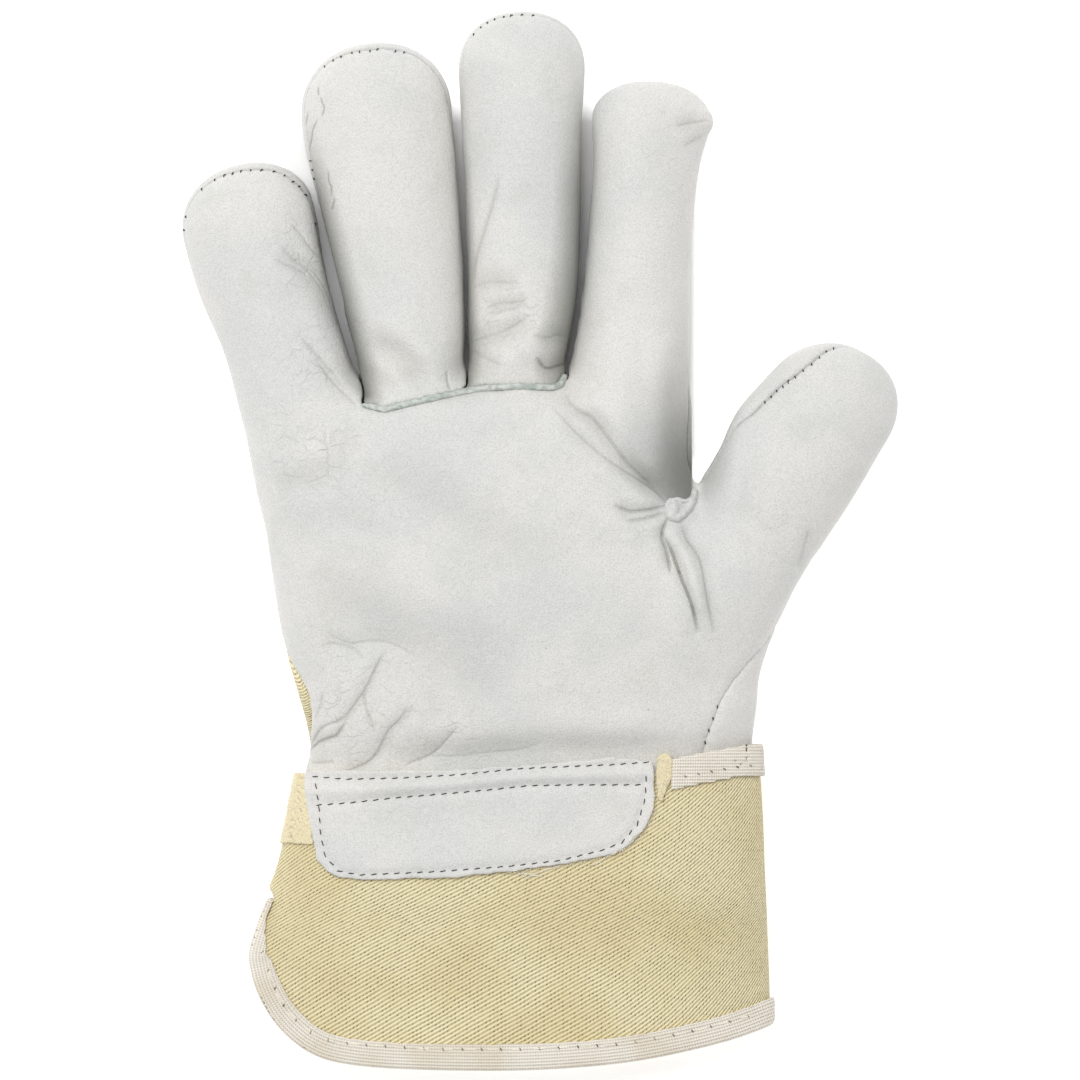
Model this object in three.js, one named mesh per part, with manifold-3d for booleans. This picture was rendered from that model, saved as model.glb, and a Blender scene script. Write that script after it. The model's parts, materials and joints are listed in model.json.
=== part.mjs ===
// Leather work glove for the right hand, lying palm up.
// Millimetres. +Y points to the fingertips, +X to the thumb, +Z up out of the palm.
// The origin is under the middle of the glove, on the surface that the back of the hand rests on.

import * as THREE from 'three';
import Module from 'manifold-3d';

const wasm = await Module();
wasm.setup();

// Driving dimensions
const LEATHER = 1.8;            // thickness of the hide
const CANVAS = 1.5;             // thickness of the cuff's twill with its backing
const GAP = 0.3;                // clearance between two pieces that are sewn together
const TAPE = 1.2;               // thickness of the woven binding
const PATCH = 1.4;              // thickness of the patch over the wrist
const TAB = 1.0;                // thickness of the lining where it shows
const WELT_WIDTH = 1.7;
const WELT_PROUD = 0.9;         // how far the welt stands above the leather
const CUFF_FLOOR = 1.6;         // lowest point of the cuff's cloth, with the tape below it
const SEAM_HEIGHT = 11;         // the seam between front and back along the fingers
const BODY_POWER = 2.5;         // squareness of the palm's and the cuff's sections, 2 is an ellipse
const FINGER_POWER = 2.2;
const BODY_RING = 34;           // points round the palm and the cuff
const FINGER_RING = 16;         // points round a finger
const INNER_FINGER_RING = 10;
const KNUCKLE_Y = -25;          // on the back, leather above this line and canvas below it
const WRIST_END = -66;          // the hand's leather ends here, inside the cuff
const CUFF_TOP_Y = -59;         // upper edge of the cuff's cloth
const WEB_Y = 41.5;             // top of the web between the fingers
const INNER_WEB_Y = 35.5;
const REACH = 120;              // a length that passes every side of the glove
const PAST_TIPS = 160;          // Y values that pass both ends of it
const PAST_HEM = -160;
const SKY = 60;                 // a height that passes every piece
const CREASE_RISE = 1.6;        // creases fade in from the side, over 1 / 1.6 of the half height
const SEAM_CELL = 15;           // spacing and half width of the grid that the seam surface is laid on
const SEAM_REACH = 150;
const PATCH_CLEAR = 3;          // how far above the seam these pieces end
const CROTCH_CLEAR = 2;
const TAB_CLEAR = 1;
const HEM_RISE = 12;            // the hem's line climbs this much from the thumb side on to REACH

// The hand without its fingers. low is where the section would reach if nothing flattened it,
// floor is where the surface under it flattens it.
const PALM_ROWS = [
  { at: -72, left: -61.6, right: 55.0, low: 3.4, top: 24.8, floor: 3.4 },
  { at: -66, left: -61.0, right: 54.8, low: 3.4, top: 24.9, floor: 3.4 },
  { at: -60, left: -59.9, right: 54.4, low: 3.4, top: 25.0, floor: 3.4 },
  { at: -54, left: -58.6, right: 54.0, low: 3.2, top: 25.6, floor: 3.4 },
  { at: -48, left: -58.9, right: 54.6, low: 0.5, top: 28.5, floor: 1.2 },
  { at: -40, left: -61.0, right: 55.6, low: -2, top: 30.0, floor: 0 },
  { at: -26, left: -65.0, right: 55.2, low: -3, top: 31.5, floor: 0 },
  { at: -12, left: -67.4, right: 53.0, low: -3, top: 33.0, floor: 0 },
  { at: 2, left: -69.4, right: 47.5, low: -3, top: 33.5, floor: 0 },
  { at: 14, left: -71.2, right: 41.0, low: -3, top: 33.0, floor: 0 },
  { at: 26, left: -71.0, right: 39.2, low: -3, top: 31.5, floor: 0 },
  { at: 35, left: -68.0, right: 38.6, low: -2, top: 29.0, floor: 0 },
  { at: 41.5, left: -61.0, right: 36.0, low: 2, top: 23.0, floor: 0 },
];

// The cuff as a whole tube. Below the slit's top its left side runs past the slit's edge.
const CUFF_ROWS = [
  { at: -46, left: -60.8, right: 56.0, low: 1.6, top: 26.8, floor: CUFF_FLOOR },
  { at: -54, left: -60.8, right: 56.0, low: 1.6, top: 27.4, floor: CUFF_FLOOR },
  { at: -60, left: -61.8, right: 56.4, low: 1.6, top: 26.8, floor: CUFF_FLOOR },
  { at: -66, left: -63.0, right: 56.8, low: 1.6, top: 26.7, floor: CUFF_FLOOR },
  { at: -72, left: -64.2, right: 57.1, low: 1.6, top: 26.6, floor: CUFF_FLOOR },
  { at: -84, left: -67.2, right: 57.5, low: 1.6, top: 26.4, floor: CUFF_FLOOR },
  { at: -92, left: -70.6, right: 57.9, low: 1.6, top: 26.0, floor: CUFF_FLOOR },
  { at: -100, left: -75.6, right: 58.2, low: 1.0, top: 25.6, floor: CUFF_FLOOR },
  { at: -110, left: -78.4, right: 58.6, low: 0.5, top: 25.0, floor: CUFF_FLOOR },
  { at: -122, left: -78.4, right: 58.9, low: 0.0, top: 24.2, floor: CUFF_FLOOR },
  { at: -142, left: -78.0, right: 58.6, low: 0.0, top: 23.4, floor: CUFF_FLOOR },
];

// Each finger runs from its root inside the palm to its tip. left and right are distances from that
// line, at is the distance along it, and round is the length over which the tip closes.
const FINGERS = {
  little: {
    root: [-53.2, 10.3], tip: [-75.3, 96.1], round: 16,
    rows: [
      { at: -12, left: -12.0, right: 10.0, low: 3, top: 22.0 },
      { at: 0, left: -15.0, right: 12.6, low: 0, top: 27.0 },
      { at: 24, left: -16.7, right: 14.4, low: -2, top: 27.5 },
      { at: 42, left: -16.9, right: 13.7, low: -2, top: 26.0 },
      { at: 60, left: -19.6, right: 13.8, low: -2, top: 25.0 },
      { at: 74, left: -19.8, right: 15.2, low: -1, top: 23.5 },
      { at: 89, left: -19.0, right: 15.0, low: 0, top: 22.0 },
    ],
  },
  ring: {
    root: [-30.3, 15.4], tip: [-41.2, 126.9], round: 18,
    rows: [
      { at: 0, left: -11.2, right: 12.4, low: -2, top: 28.0 },
      { at: 22, left: -11.8, right: 13.0, low: -2, top: 28.5 },
      { at: 34, left: -13.4, right: 15.0, low: -2, top: 28.0 },
      { at: 50, left: -16.3, right: 16.4, low: -2, top: 26.5 },
      { at: 68, left: -18.7, right: 17.1, low: -2, top: 25.5 },
      { at: 86, left: -20.9, right: 17.4, low: -1, top: 24.5 },
      { at: 112, left: -20.8, right: 17.0, low: 0, top: 22.5 },
    ],
  },
  middle: {
    root: [-4.3, 17.9], tip: [-4.3, 134.8], round: 16,
    rows: [
      { at: 0, left: -12.4, right: 11.2, low: -2, top: 28.0 },
      { at: 27, left: -13.5, right: 10.9, low: -2, top: 28.5 },
      { at: 42, left: -14.0, right: 14.0, low: -2, top: 27.0 },
      { at: 60, left: -14.4, right: 15.0, low: -2, top: 26.0 },
      { at: 84, left: -15.5, right: 15.3, low: -1, top: 25.0 },
      { at: 117, left: -16.8, right: 17.0, low: 0, top: 23.0 },
    ],
  },
  index: {
    root: [22.7, 10.3], tip: [29.5, 117.2], round: 12,
    rows: [
      { at: -14, left: -13.0, right: 11.0, low: 3, top: 24.0 },
      { at: 2, left: -16.5, right: 15.0, low: -1, top: 28.0 },
      { at: 28, left: -17.4, right: 14.2, low: -2, top: 28.5 },
      { at: 46, left: -15.5, right: 13.0, low: -2, top: 27.0 },
      { at: 70, left: -14.7, right: 12.2, low: -2, top: 25.5 },
      { at: 86, left: -14.6, right: 13.0, low: -1, top: 25.0 },
      { at: 98, left: -15.8, right: 15.4, low: 0, top: 24.5 },
      { at: 108, left: -16.0, right: 16.0, low: 0, top: 24.0 },
    ],
  },
  thumb: {
    root: [41.0, -15.9], tip: [83.2, 48.0], round: 16,
    rows: [
      { at: -20, left: -10.0, right: 11.0, low: 3, top: 22.0 },
      { at: -8, left: -13.0, right: 18.6, low: 0, top: 27.5 },
      { at: 2, left: -14.5, right: 20.0, low: -2, top: 30.0 },
      { at: 17, left: -14.8, right: 18.4, low: -2, top: 30.0 },
      { at: 26, left: -17.2, right: 17.9, low: -2, top: 29.0 },
      { at: 44, left: -19.2, right: 17.8, low: -1, top: 28.0 },
      { at: 60, left: -17.2, right: 17.0, low: -1, top: 26.0 },
      { at: 77, left: -14.0, right: 16.8, low: 0, top: 24.0 },
    ],
  },
};

// Creases in the palm side, each a valley along a straight line
const FOLDS = [
  { from: [6.9, 38.6], to: [32.3, 10.6], width: 3.5, depth: 2.6 },
  { from: [5.3, 31.0], to: [31.5, 9.0], width: 3.0, depth: 1.6 },
  { from: [32.3, 8.5], to: [20.0, 7.8], width: 2.5, depth: 1.4 },
  { from: [33.1, -1.9], to: [41.0, -23.8], width: 3.0, depth: 2.6 },
  { from: [36.9, 3.4], to: [44.0, -22.5], width: 3.0, depth: 2.0 },
  { from: [-40.7, 51.3], to: [-28.5, 41.9], width: 3.5, depth: 1.8 },
  { from: [-65.4, 70.9], to: [-50.6, 53.1], width: 3.0, depth: 1.4 },
  { from: [-9.7, 93.3], to: [-16.5, 62.5], width: 3.0, depth: 1.4 },
  { from: [-16.3, 63.0], to: [-0.5, 60.4], width: 2.5, depth: 1.2 },
  { from: [68.5, 2.9], to: [65.7, -7.0], width: 3.0, depth: 1.4 },
  { from: [-66.2, 14.9], to: [-43.5, 19.5], width: 3.5, depth: 1.2 },
  { from: [-59.8, -29.0], to: [-25.5, -33.2], width: 3.5, depth: 1.4 },
  { from: [-39.7, -28.6], to: [-50.1, -45.4], width: 3.5, depth: 1.2 },
  { from: [-33.0, -42.9], to: [-39.7, -50.0], width: 3.0, depth: 1.2 },
];

// Places where the seam between front and back climbs above SEAM_HEIGHT
const SEAM_LIFTS = [
  { centre: [-75.3, 96.1], spread: 12, lift: 6.5 },     // tip of the little finger
  { centre: [-41.2, 126.9], spread: 12, lift: 6.0 },    // tip of the ring finger
  { centre: [-4.3, 134.8], spread: 12, lift: 4.5 },     // tip of the middle finger
  { centre: [66.0, 46.0], spread: 11, lift: 8.0 },      // thumb's inner side, near its tip
  { centre: [51.0, 33.0], spread: 12, lift: 9.0 },      // thumb's inner side
  { centre: [-62.0, -40.0], spread: 13, lift: 9.0 },    // canvas that shows beside the wrist
];

// Plan lines: each is a chain of [x, y] points
const WELT_LINE = [
  [-44.8, 34.5], [-39.2, 33.2], [-35.4, 34.2], [-19.3, 37.8], [-15.0, 38.6], [-4.8, 39.1], [3.3, 38.8],
  [5.9, 40.1], [6.5, 43.9],
];
const RING_SLIT = [[-44.3, 37.0], [-52.9, 71.0], [-62, 106], [-64, 150]];
const MIDDLE_SLIT = [[-18.3, 39.5], [-18.1, 48.5], [-19.3, 74.0], [-21.9, 116], [-22, 150]];
const INDEX_SLIT = [[7.0, 40.5], [8.4, 53.6], [11.5, 74.0], [13.0, 104.5], [13.2, 150]];
const GUSSET_LINE = [
  [70.5, -4.5], [63.6, -15.1], [60.8, -20.2], [57.3, -25.8], [53.4, -30.2], [49.1, -35.5], [45.8, -40.8],
  [44.3, -44.9], [42.5, -50.0], [41.2, -56.0], [40.8, -74.0],
];
const THUMB_BACK_LINE = [[36, -80], [36, -40], [40, -12], [39.6, 12.6], [48, 30], [48, 70]];
const KNUCKLE_LINE = [[-REACH, KNUCKLE_Y], [REACH, KNUCKLE_Y]];

// The outer edge of the hem from the slit's top round to the thumb side, and how much of the
// tape's width lies on the cloth there
const HEM_EDGE = [
  { x: -69.2, y: -90.5, tape: 1.6 },
  { x: -71.8, y: -96.8, tape: 2.6 },
  { x: -74.1, y: -104.5, tape: 5.4 },
  { x: -73.6, y: -109.6, tape: 6.8 },
  { x: -71.8, y: -115.4, tape: 7.2 },
  { x: -68.2, y: -121.8, tape: 7.2 },
  { x: -63.6, y: -126.8, tape: 7.2 },
  { x: -58.3, y: -130.5, tape: 7.2 },
  { x: -51.4, y: -132.9, tape: 7.2 },
  { x: -37.9, y: -134.4, tape: 7.2 },
  { x: -12.0, y: -135.0, tape: 7.2 },
  { x: 8.0, y: -134.3, tape: 7.2 },
  { x: 27.0, y: -132.2, tape: 7.2 },
  { x: 47.8, y: -127.6, tape: 7.2 },
  { x: 62.0, y: -122.6, tape: 7.2 },
];
const PATCH_OUTLINE = [
  [-60.0, -58.4], [-59.2, -66.0], [-58.2, -72.0], [-56.5, -81.0], [-54.2, -84.1], [-50.4, -85.9],
  [-44.0, -86.3], [-19.1, -85.4], [-7.4, -84.1], [6.0, -82.4], [19.1, -79.6], [23.9, -76.7], [27.2, -72.9],
  [29.3, -68.6], [29.4, -64.0], [29.0, -55.8], [19.0, -55.0], [0.0, -56.6], [-20.0, -58.0],
];
const TOP_TAPE_FRONT = [[33.9, -55.2], [41.0, -53.6], [48.6, -52.2], [52, -51.6], [REACH, -51.6]];
const TOP_TAPE_BACK = [[-REACH, -52.8], [30, -52.8], [50, -51.6], [REACH, -51.6]];
const TOP_TAPE_WIDTH = 8.6;
const TAB_RIGHT = [[29.8, -54.6], [33.5, -54.6], [33.5, -66.4], [29.8, -65.2]];
const TAB_LEFT = [[-REACH, -58.8], [-60.4, -58.8], [-58.6, -72.4], [-58.0, -77.4], [-REACH, -77.4]];
const CROTCH_CENTRE = [35.8, 7.9];
const CROTCH_RADII = [3.6, 3.0];
const CROTCH_SIDES = 10;

// Value of one column of a table at any distance, on a smooth curve through its rows
function columnAt(rows, column, at) {
  const last = rows.length - 1;
  if ((at - rows[0].at) * (rows[last].at - rows[0].at) <= 0) return rows[0][column];
  let i = 0;
  const rising = rows[last].at > rows[0].at;
  while (i < last - 1 && (rising ? at > rows[i + 1].at : at < rows[i + 1].at)) i += 1;
  const slope = (j) => {
    const a = rows[Math.max(j - 1, 0)];
    const b = rows[Math.min(j + 1, last)];
    return (b[column] - a[column]) / (b.at - a.at);
  };
  const span = rows[i + 1].at - rows[i].at;
  const t = Math.min((at - rows[i].at) / span, 1);
  const start = rows[i][column];
  const end = rows[i + 1][column];
  const rise = end - start;
  const curve = t * t * (3 - 2 * t);
  return start + rise * curve
    + span * (slope(i) * t * (1 - t) * (1 - t) - slope(i + 1) * t * t * (1 - t));
}

// Depth of all the creases at a place on the palm side
function foldDrop(x, y) {
  let drop = 0;
  for (const { from, to, width, depth } of FOLDS) {
    const dx = to[0] - from[0];
    const dy = to[1] - from[1];
    const along = ((x - from[0]) * dx + (y - from[1]) * dy) / (dx * dx + dy * dy);
    const t = Math.min(Math.max(along, 0), 1);
    const distance = Math.hypot(x - from[0] - t * dx, y - from[1] - t * dy);
    drop += depth * Math.exp(-((distance / width) ** 2));
  }
  return drop;
}

// A closed solid from a list of positions and triangles, turned so that its faces point out
function solidFrom(positions, triangles) {
  let volume = 0;
  const a = new THREE.Vector3();
  const b = new THREE.Vector3();
  const c = new THREE.Vector3();
  for (let i = 0; i < triangles.length; i += 3) {
    a.fromArray(positions, 3 * triangles[i]);
    b.fromArray(positions, 3 * triangles[i + 1]);
    c.fromArray(positions, 3 * triangles[i + 2]);
    volume += a.dot(b.cross(c));
  }
  const turned = [];
  for (let i = 0; i < triangles.length; i += 3) {
    if (volume > 0) turned.push(triangles[i], triangles[i + 1], triangles[i + 2]);
    else turned.push(triangles[i], triangles[i + 2], triangles[i + 1]);
  }
  return new wasm.Manifold(new wasm.Mesh({
    numProp: 3,
    vertProperties: new Float32Array(positions),
    triVerts: new Uint32Array(turned),
  }));
}

// A tube through rings of equal point count. A ring of one point closes an end.
function loft(rings) {
  const positions = [];
  const triangles = [];
  const starts = [];
  for (const ring of rings) {
    starts.push(positions.length / 3);
    for (const point of ring) positions.push(...point);
  }
  const fan = (ringIndex, centre) => {
    const count = rings[ringIndex].length;
    for (let k = 0; k < count; k += 1) {
      const p = starts[ringIndex] + k;
      const q = starts[ringIndex] + ((k + 1) % count);
      if (ringIndex === 0) triangles.push(centre, q, p);
      else triangles.push(centre, p, q);
    }
  };
  const middleOf = (ring) => {
    const sum = [0, 0, 0];
    for (const point of ring) point.forEach((value, axis) => { sum[axis] += value / ring.length; });
    return sum;
  };
  const last = rings.length - 1;
  for (let r = 0; r < last; r += 1) {
    if (rings[r + 1].length === 1) {
      fan(r, starts[r + 1]);
      break;
    }
    const count = rings[r].length;
    for (let k = 0; k < count; k += 1) {
      const next = (k + 1) % count;
      const a = starts[r] + k;
      const b = starts[r] + next;
      const c = starts[r + 1] + k;
      const d = starts[r + 1] + next;
      triangles.push(a, b, d, a, d, c);
    }
  }
  positions.push(...middleOf(rings[0]));
  fan(0, positions.length / 3 - 1);
  if (rings[last].length > 1) {
    positions.push(...middleOf(rings[last]));
    fan(last, positions.length / 3 - 1);
  }
  return solidFrom(positions, triangles);
}

// One ring of a tube: a rounded section, flattened on the floor and creased on top
function sectionRing({ centre, side, halfWidth, low, top, floor, power, scale, points, creased }) {
  const ring = [];
  const middle = (low + top) / 2;
  const halfHeight = ((top - low) / 2) * scale;
  for (let k = 0; k < points; k += 1) {
    const angle = (2 * Math.PI * (k + 0.5)) / points;
    const bend = (value) => Math.sign(value) * Math.abs(value) ** (2 / power);
    const across = halfWidth * scale * bend(Math.cos(angle));
    const x = centre[0] + side[0] * across;
    const y = centre[1] + side[1] * across;
    const lift = bend(Math.sin(angle));
    let z = middle + halfHeight * lift;
    if (creased && lift > 0) z -= foldDrop(x, y) * Math.min(1, CREASE_RISE * lift);
    ring.push([x, y, Math.max(z, floor)]);
  }
  return ring;
}

// The palm or the cuff between two distances, grown outwards by grow, or shrunk where it is negative
function bodySolid(rows, grow, stations, creased) {
  const rings = stations.map((at) => {
    const left = columnAt(rows, 'left', at) - grow;
    const right = columnAt(rows, 'right', at) + grow;
    return sectionRing({
      centre: [(left + right) / 2, at],
      side: [1, 0],
      halfWidth: (right - left) / 2,
      low: columnAt(rows, 'low', at) - grow,
      top: columnAt(rows, 'top', at) + grow,
      floor: Math.max(columnAt(rows, 'floor', at), 0) - grow,
      power: BODY_POWER,
      scale: 1,
      points: BODY_RING,
      creased,
    });
  });
  return loft(rings);
}

// One finger, grown or shrunk likewise
function fingerSolid({ root, tip, round, rows }, grow, points, shaftSteps, tipSteps) {
  const run = [tip[0] - root[0], tip[1] - root[1]];
  const fullLength = Math.hypot(...run);
  const heading = [run[0] / fullLength, run[1] / fullLength];
  const side = [heading[1], -heading[0]];
  const length = fullLength + grow;
  const closing = round + grow;
  const ringAt = (at, scale) => {
    const left = columnAt(rows, 'left', at) - grow;
    const right = columnAt(rows, 'right', at) + grow;
    const shift = (left + right) / 2;
    return sectionRing({
      centre: [root[0] + heading[0] * at + side[0] * shift, root[1] + heading[1] * at + side[1] * shift],
      side,
      halfWidth: (right - left) / 2,
      low: columnAt(rows, 'low', at) - grow,
      top: columnAt(rows, 'top', at) + grow,
      floor: -grow,
      power: FINGER_POWER,
      scale,
      points,
      creased: true,
    });
  };
  const rings = [];
  const start = rows[0].at;
  for (let i = 0; i < shaftSteps; i += 1) {
    rings.push(ringAt(start + ((length - closing - start) * i) / shaftSteps, 1));
  }
  for (let i = 0; i < tipSteps; i += 1) {
    const turn = ((Math.PI / 2) * i) / tipSteps;
    rings.push(ringAt(length - closing + closing * Math.sin(turn), Math.cos(turn)));
  }
  const tipRing = ringAt(length, 0);
  rings.push([tipRing[0]]);
  return loft(rings);
}

// An upright solid over a closed plan outline
function prism(outline) {
  const shape = new THREE.Shape(outline.map(([x, y]) => new THREE.Vector2(x, y)));
  const { shape: contour } = shape.extractPoints(1);
  const flat = THREE.ShapeUtils.isClockWise(contour) ? contour.reverse() : contour;
  const faces = THREE.ShapeUtils.triangulateShape(flat, []);
  const count = flat.length;
  const positions = [];
  for (const z of [-SKY, SKY]) {
    for (const point of flat) positions.push(point.x, point.y, z);
  }
  const triangles = [];
  for (const [a, b, c] of faces) {
    triangles.push(a, c, b, count + a, count + b, count + c);
  }
  for (let k = 0; k < count; k += 1) {
    const next = (k + 1) % count;
    triangles.push(k, next, count + next, k, count + next, count + k);
  }
  return solidFrom(positions, triangles);
}

// A plan line moved to its left by a distance, which may differ from point to point
function offsetLine(line, distance) {
  return line.map((point, i) => {
    const before = line[Math.max(i - 1, 0)];
    const after = line[Math.min(i + 1, line.length - 1)];
    const run = [after[0] - before[0], after[1] - before[1]];
    const size = Math.hypot(...run);
    const move = typeof distance === 'function' ? distance(i) : distance;
    return [point[0] - (run[1] / size) * move, point[1] + (run[0] / size) * move];
  });
}

// An upright ribbon along a plan line, run on past both ends by extra
function ribbon(line, halfWidth, extra = 0) {
  const ends = [line[0], line[1], line[line.length - 2], line[line.length - 1]];
  const beyond = (end, inner) => {
    const size = Math.hypot(end[0] - inner[0], end[1] - inner[1]);
    return [end[0] + ((end[0] - inner[0]) / size) * extra, end[1] + ((end[1] - inner[1]) / size) * extra];
  };
  const full = [beyond(ends[0], ends[1]), ...line.slice(1, -1), beyond(ends[3], ends[2])];
  return prism([...offsetLine(full, halfWidth), ...offsetLine(full, -halfWidth).reverse()]);
}

// Everything above the seam surface, moved up by shift
function aboveSeam(shift) {
  const half = Math.ceil(SEAM_REACH / SEAM_CELL);
  const count = 2 * half + 1;
  const positions = [];
  const place = (i) => (i - half) * SEAM_CELL;
  const seamAt = (x, y) => {
    let z = SEAM_HEIGHT;
    for (const { centre, spread, lift } of SEAM_LIFTS) {
      const distance = Math.hypot(x - centre[0], y - centre[1]);
      z += lift * Math.exp(-((distance / spread) ** 2));
    }
    return z + shift;
  };
  for (const layer of [0, 1]) {
    for (let j = 0; j < count; j += 1) {
      for (let i = 0; i < count; i += 1) {
        const x = place(i);
        const y = place(j);
        positions.push(x, y, layer === 0 ? seamAt(x, y) : SKY);
      }
    }
  }
  const triangles = [];
  const vertex = (i, j, layer) => layer * count * count + j * count + i;
  for (let j = 0; j < count - 1; j += 1) {
    for (let i = 0; i < count - 1; i += 1) {
      const low = [vertex(i, j, 0), vertex(i + 1, j, 0), vertex(i + 1, j + 1, 0), vertex(i, j + 1, 0)];
      const high = low.map((index) => index + count * count);
      triangles.push(low[0], low[2], low[1], low[0], low[3], low[2]);
      triangles.push(high[0], high[1], high[2], high[0], high[2], high[3]);
    }
  }
  const wall = (i0, j0, i1, j1) => {
    const a = vertex(i0, j0, 0);
    const b = vertex(i1, j1, 0);
    const c = vertex(i1, j1, 1);
    const d = vertex(i0, j0, 1);
    triangles.push(a, b, c, a, c, d);
  };
  for (let k = 0; k < count - 1; k += 1) {
    wall(k, 0, k + 1, 0);
    wall(count - 1, k, count - 1, k + 1);
    wall(k + 1, count - 1, k, count - 1);
    wall(0, k + 1, 0, k);
  }
  return solidFrom(positions, triangles);
}

function unionOf(solids) {
  return solids.reduce((whole, solid) => whole.add(solid));
}

function evenSteps(from, to, count) {
  return Array.from({ length: count + 1 }, (_, i) => from + ((to - from) * i) / count);
}

// The hand's outer form, grown by grow
const HAND_STATIONS = [WRIST_END, -60, -54, -50, ...evenSteps(-44, 30, 9), 36, WEB_Y];
const FINGER_STEPS = { shaft: 7, tip: 3 };
function handSolid(grow) {
  const fingers = Object.values(FINGERS).map(
    (finger) => fingerSolid(finger, grow, FINGER_RING, FINGER_STEPS.shaft, FINGER_STEPS.tip),
  );
  return unionOf([bodySolid(PALM_ROWS, grow, HAND_STATIONS, true), ...fingers]);
}

// The space inside it, open at the wrist
const HOLLOW_STATIONS = [-71, -60, -54, -46, ...evenSteps(-36, 24, 4), INNER_WEB_Y];
const INNER_FINGER_STEPS = { shaft: 5, tip: 2 };
function handHollow() {
  const { shaft, tip } = INNER_FINGER_STEPS;
  const fingers = Object.values(FINGERS).map(
    (finger) => fingerSolid(finger, -LEATHER, INNER_FINGER_RING, shaft, tip),
  );
  return unionOf([bodySolid(PALM_ROWS, -LEATHER, HOLLOW_STATIONS, true), ...fingers]);
}

const CUFF_STATIONS = [-46, -54, -60, -66, -78, -90, -98, -106, -116, -128, -142];
function cuffSolid(grow) {
  return bodySolid(CUFF_ROWS, grow, CUFF_STATIONS, false);
}

// The plan region of the cuff inside a line that lies inset(i) inside the hem's outer edge
function hemRegion(inset) {
  const edge = HEM_EDGE.map(({ x, y }) => [x, y]);
  const line = offsetLine(edge, inset);
  const first = line[0];
  const last = line[line.length - 1];
  return prism([[-REACH, first[1]], ...line, [REACH, last[1] + HEM_RISE], [REACH, 0], [-REACH, 0]]);
}

// The plan region between two values of Y
function regionBetween(low, high) {
  return prism([[-REACH, high], [REACH, high], [REACH, low], [-REACH, low]]);
}

// The whole hand's wall, with the fingers slit apart
const hand = handSolid(0);
const hollow = handHollow();
const slits = unionOf([RING_SLIT, MIDDLE_SLIT, INDEX_SLIT].map((line) => ribbon(line, GAP / 2)));
const handWall = hand.subtract(hollow).subtract(slits);
const front = handWall.intersect(aboveSeam(GAP / 2));
const back = handWall.subtract(aboveSeam(-GAP / 2));

// Regions of the front
const weltSlot = ribbon(WELT_LINE, WELT_WIDTH / 2 + GAP, GAP);
const gussetRegion = prism([...GUSSET_LINE, [REACH, -74], [REACH, -4.5]]);
const ringRegion = prism([...WELT_LINE.slice(0, 4), ...MIDDLE_SLIT, ...[...RING_SLIT].reverse()]);
const middleRegion = prism([...WELT_LINE.slice(3), ...INDEX_SLIT, ...[...MIDDLE_SLIT].reverse()]);
const thumbBackRegion = prism([...THUMB_BACK_LINE, [REACH, 70], [REACH, -80]]);
const aboveKnuckles = regionBetween(KNUCKLE_Y, PAST_TIPS);

function palmPanel() {
  return front.subtract(ringRegion).subtract(middleRegion).subtract(weltSlot)
    .subtract(gussetRegion).subtract(ribbon(GUSSET_LINE, GAP / 2, GAP));
}

function ringFingerFront() {
  return front.intersect(ringRegion).subtract(weltSlot);
}

function middleFingerFront() {
  return front.intersect(middleRegion).subtract(weltSlot);
}

function weltStrip() {
  const band = handSolid(WELT_PROUD).subtract(hollow).intersect(aboveSeam(GAP));
  return band.intersect(ribbon(WELT_LINE, WELT_WIDTH / 2));
}

function backLeather() {
  return back.intersect(aboveKnuckles).subtract(thumbBackRegion)
    .subtract(ribbon(KNUCKLE_LINE, GAP / 2)).subtract(ribbon(THUMB_BACK_LINE, GAP / 2, GAP));
}

function canvasBack() {
  return back.subtract(aboveKnuckles).subtract(thumbBackRegion)
    .subtract(ribbon(KNUCKLE_LINE, GAP / 2)).subtract(ribbon(THUMB_BACK_LINE, GAP / 2, GAP));
}

function thumbBack() {
  const under = back.intersect(thumbBackRegion);
  const beside = handWall.intersect(gussetRegion).subtract(ribbon(GUSSET_LINE, GAP / 2, GAP));
  return under.add(beside).subtract(ribbon(THUMB_BACK_LINE, GAP / 2, GAP));
}

function cuff() {
  const wall = cuffSolid(0).subtract(cuffSolid(-CANVAS));
  return wall.intersect(hemRegion(TAPE + GAP)).intersect(regionBetween(PAST_HEM, CUFF_TOP_Y));
}

function hemBinding() {
  const rise = TAPE + GAP;
  const shell = cuffSolid(rise).subtract(cuffSolid(-CANVAS - rise));
  const band = shell.intersect(hemRegion(0)).subtract(hemRegion((i) => HEM_EDGE[i].tape));
  const cloth = cuffSolid(GAP).subtract(cuffSolid(-CANVAS - GAP)).intersect(hemRegion(TAPE));
  return band.subtract(cloth);
}

function veinPatch() {
  return cuffSolid(GAP + PATCH).subtract(cuffSolid(GAP))
    .intersect(prism(PATCH_OUTLINE)).intersect(aboveSeam(PATCH_CLEAR));
}

function topBinding() {
  const band = cuffSolid(GAP + TAPE).subtract(cuffSolid(GAP));
  const strip = (line) => prism([...line, ...offsetLine(line, -TOP_TAPE_WIDTH).reverse()]);
  const overFront = band.intersect(aboveSeam(0)).intersect(strip(TOP_TAPE_FRONT));
  const overBack = band.subtract(aboveSeam(0)).intersect(strip(TOP_TAPE_BACK));
  return overFront.add(overBack);
}

function crotchPatch() {
  const outline = Array.from({ length: CROTCH_SIDES }, (_, k) => {
    const angle = (2 * Math.PI * k) / CROTCH_SIDES;
    return [CROTCH_CENTRE[0] + CROTCH_RADII[0] * Math.cos(angle),
      CROTCH_CENTRE[1] + CROTCH_RADII[1] * Math.sin(angle)];
  });
  return handSolid(GAP + PATCH).subtract(handSolid(GAP))
    .intersect(prism(outline)).intersect(aboveSeam(CROTCH_CLEAR));
}

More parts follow.
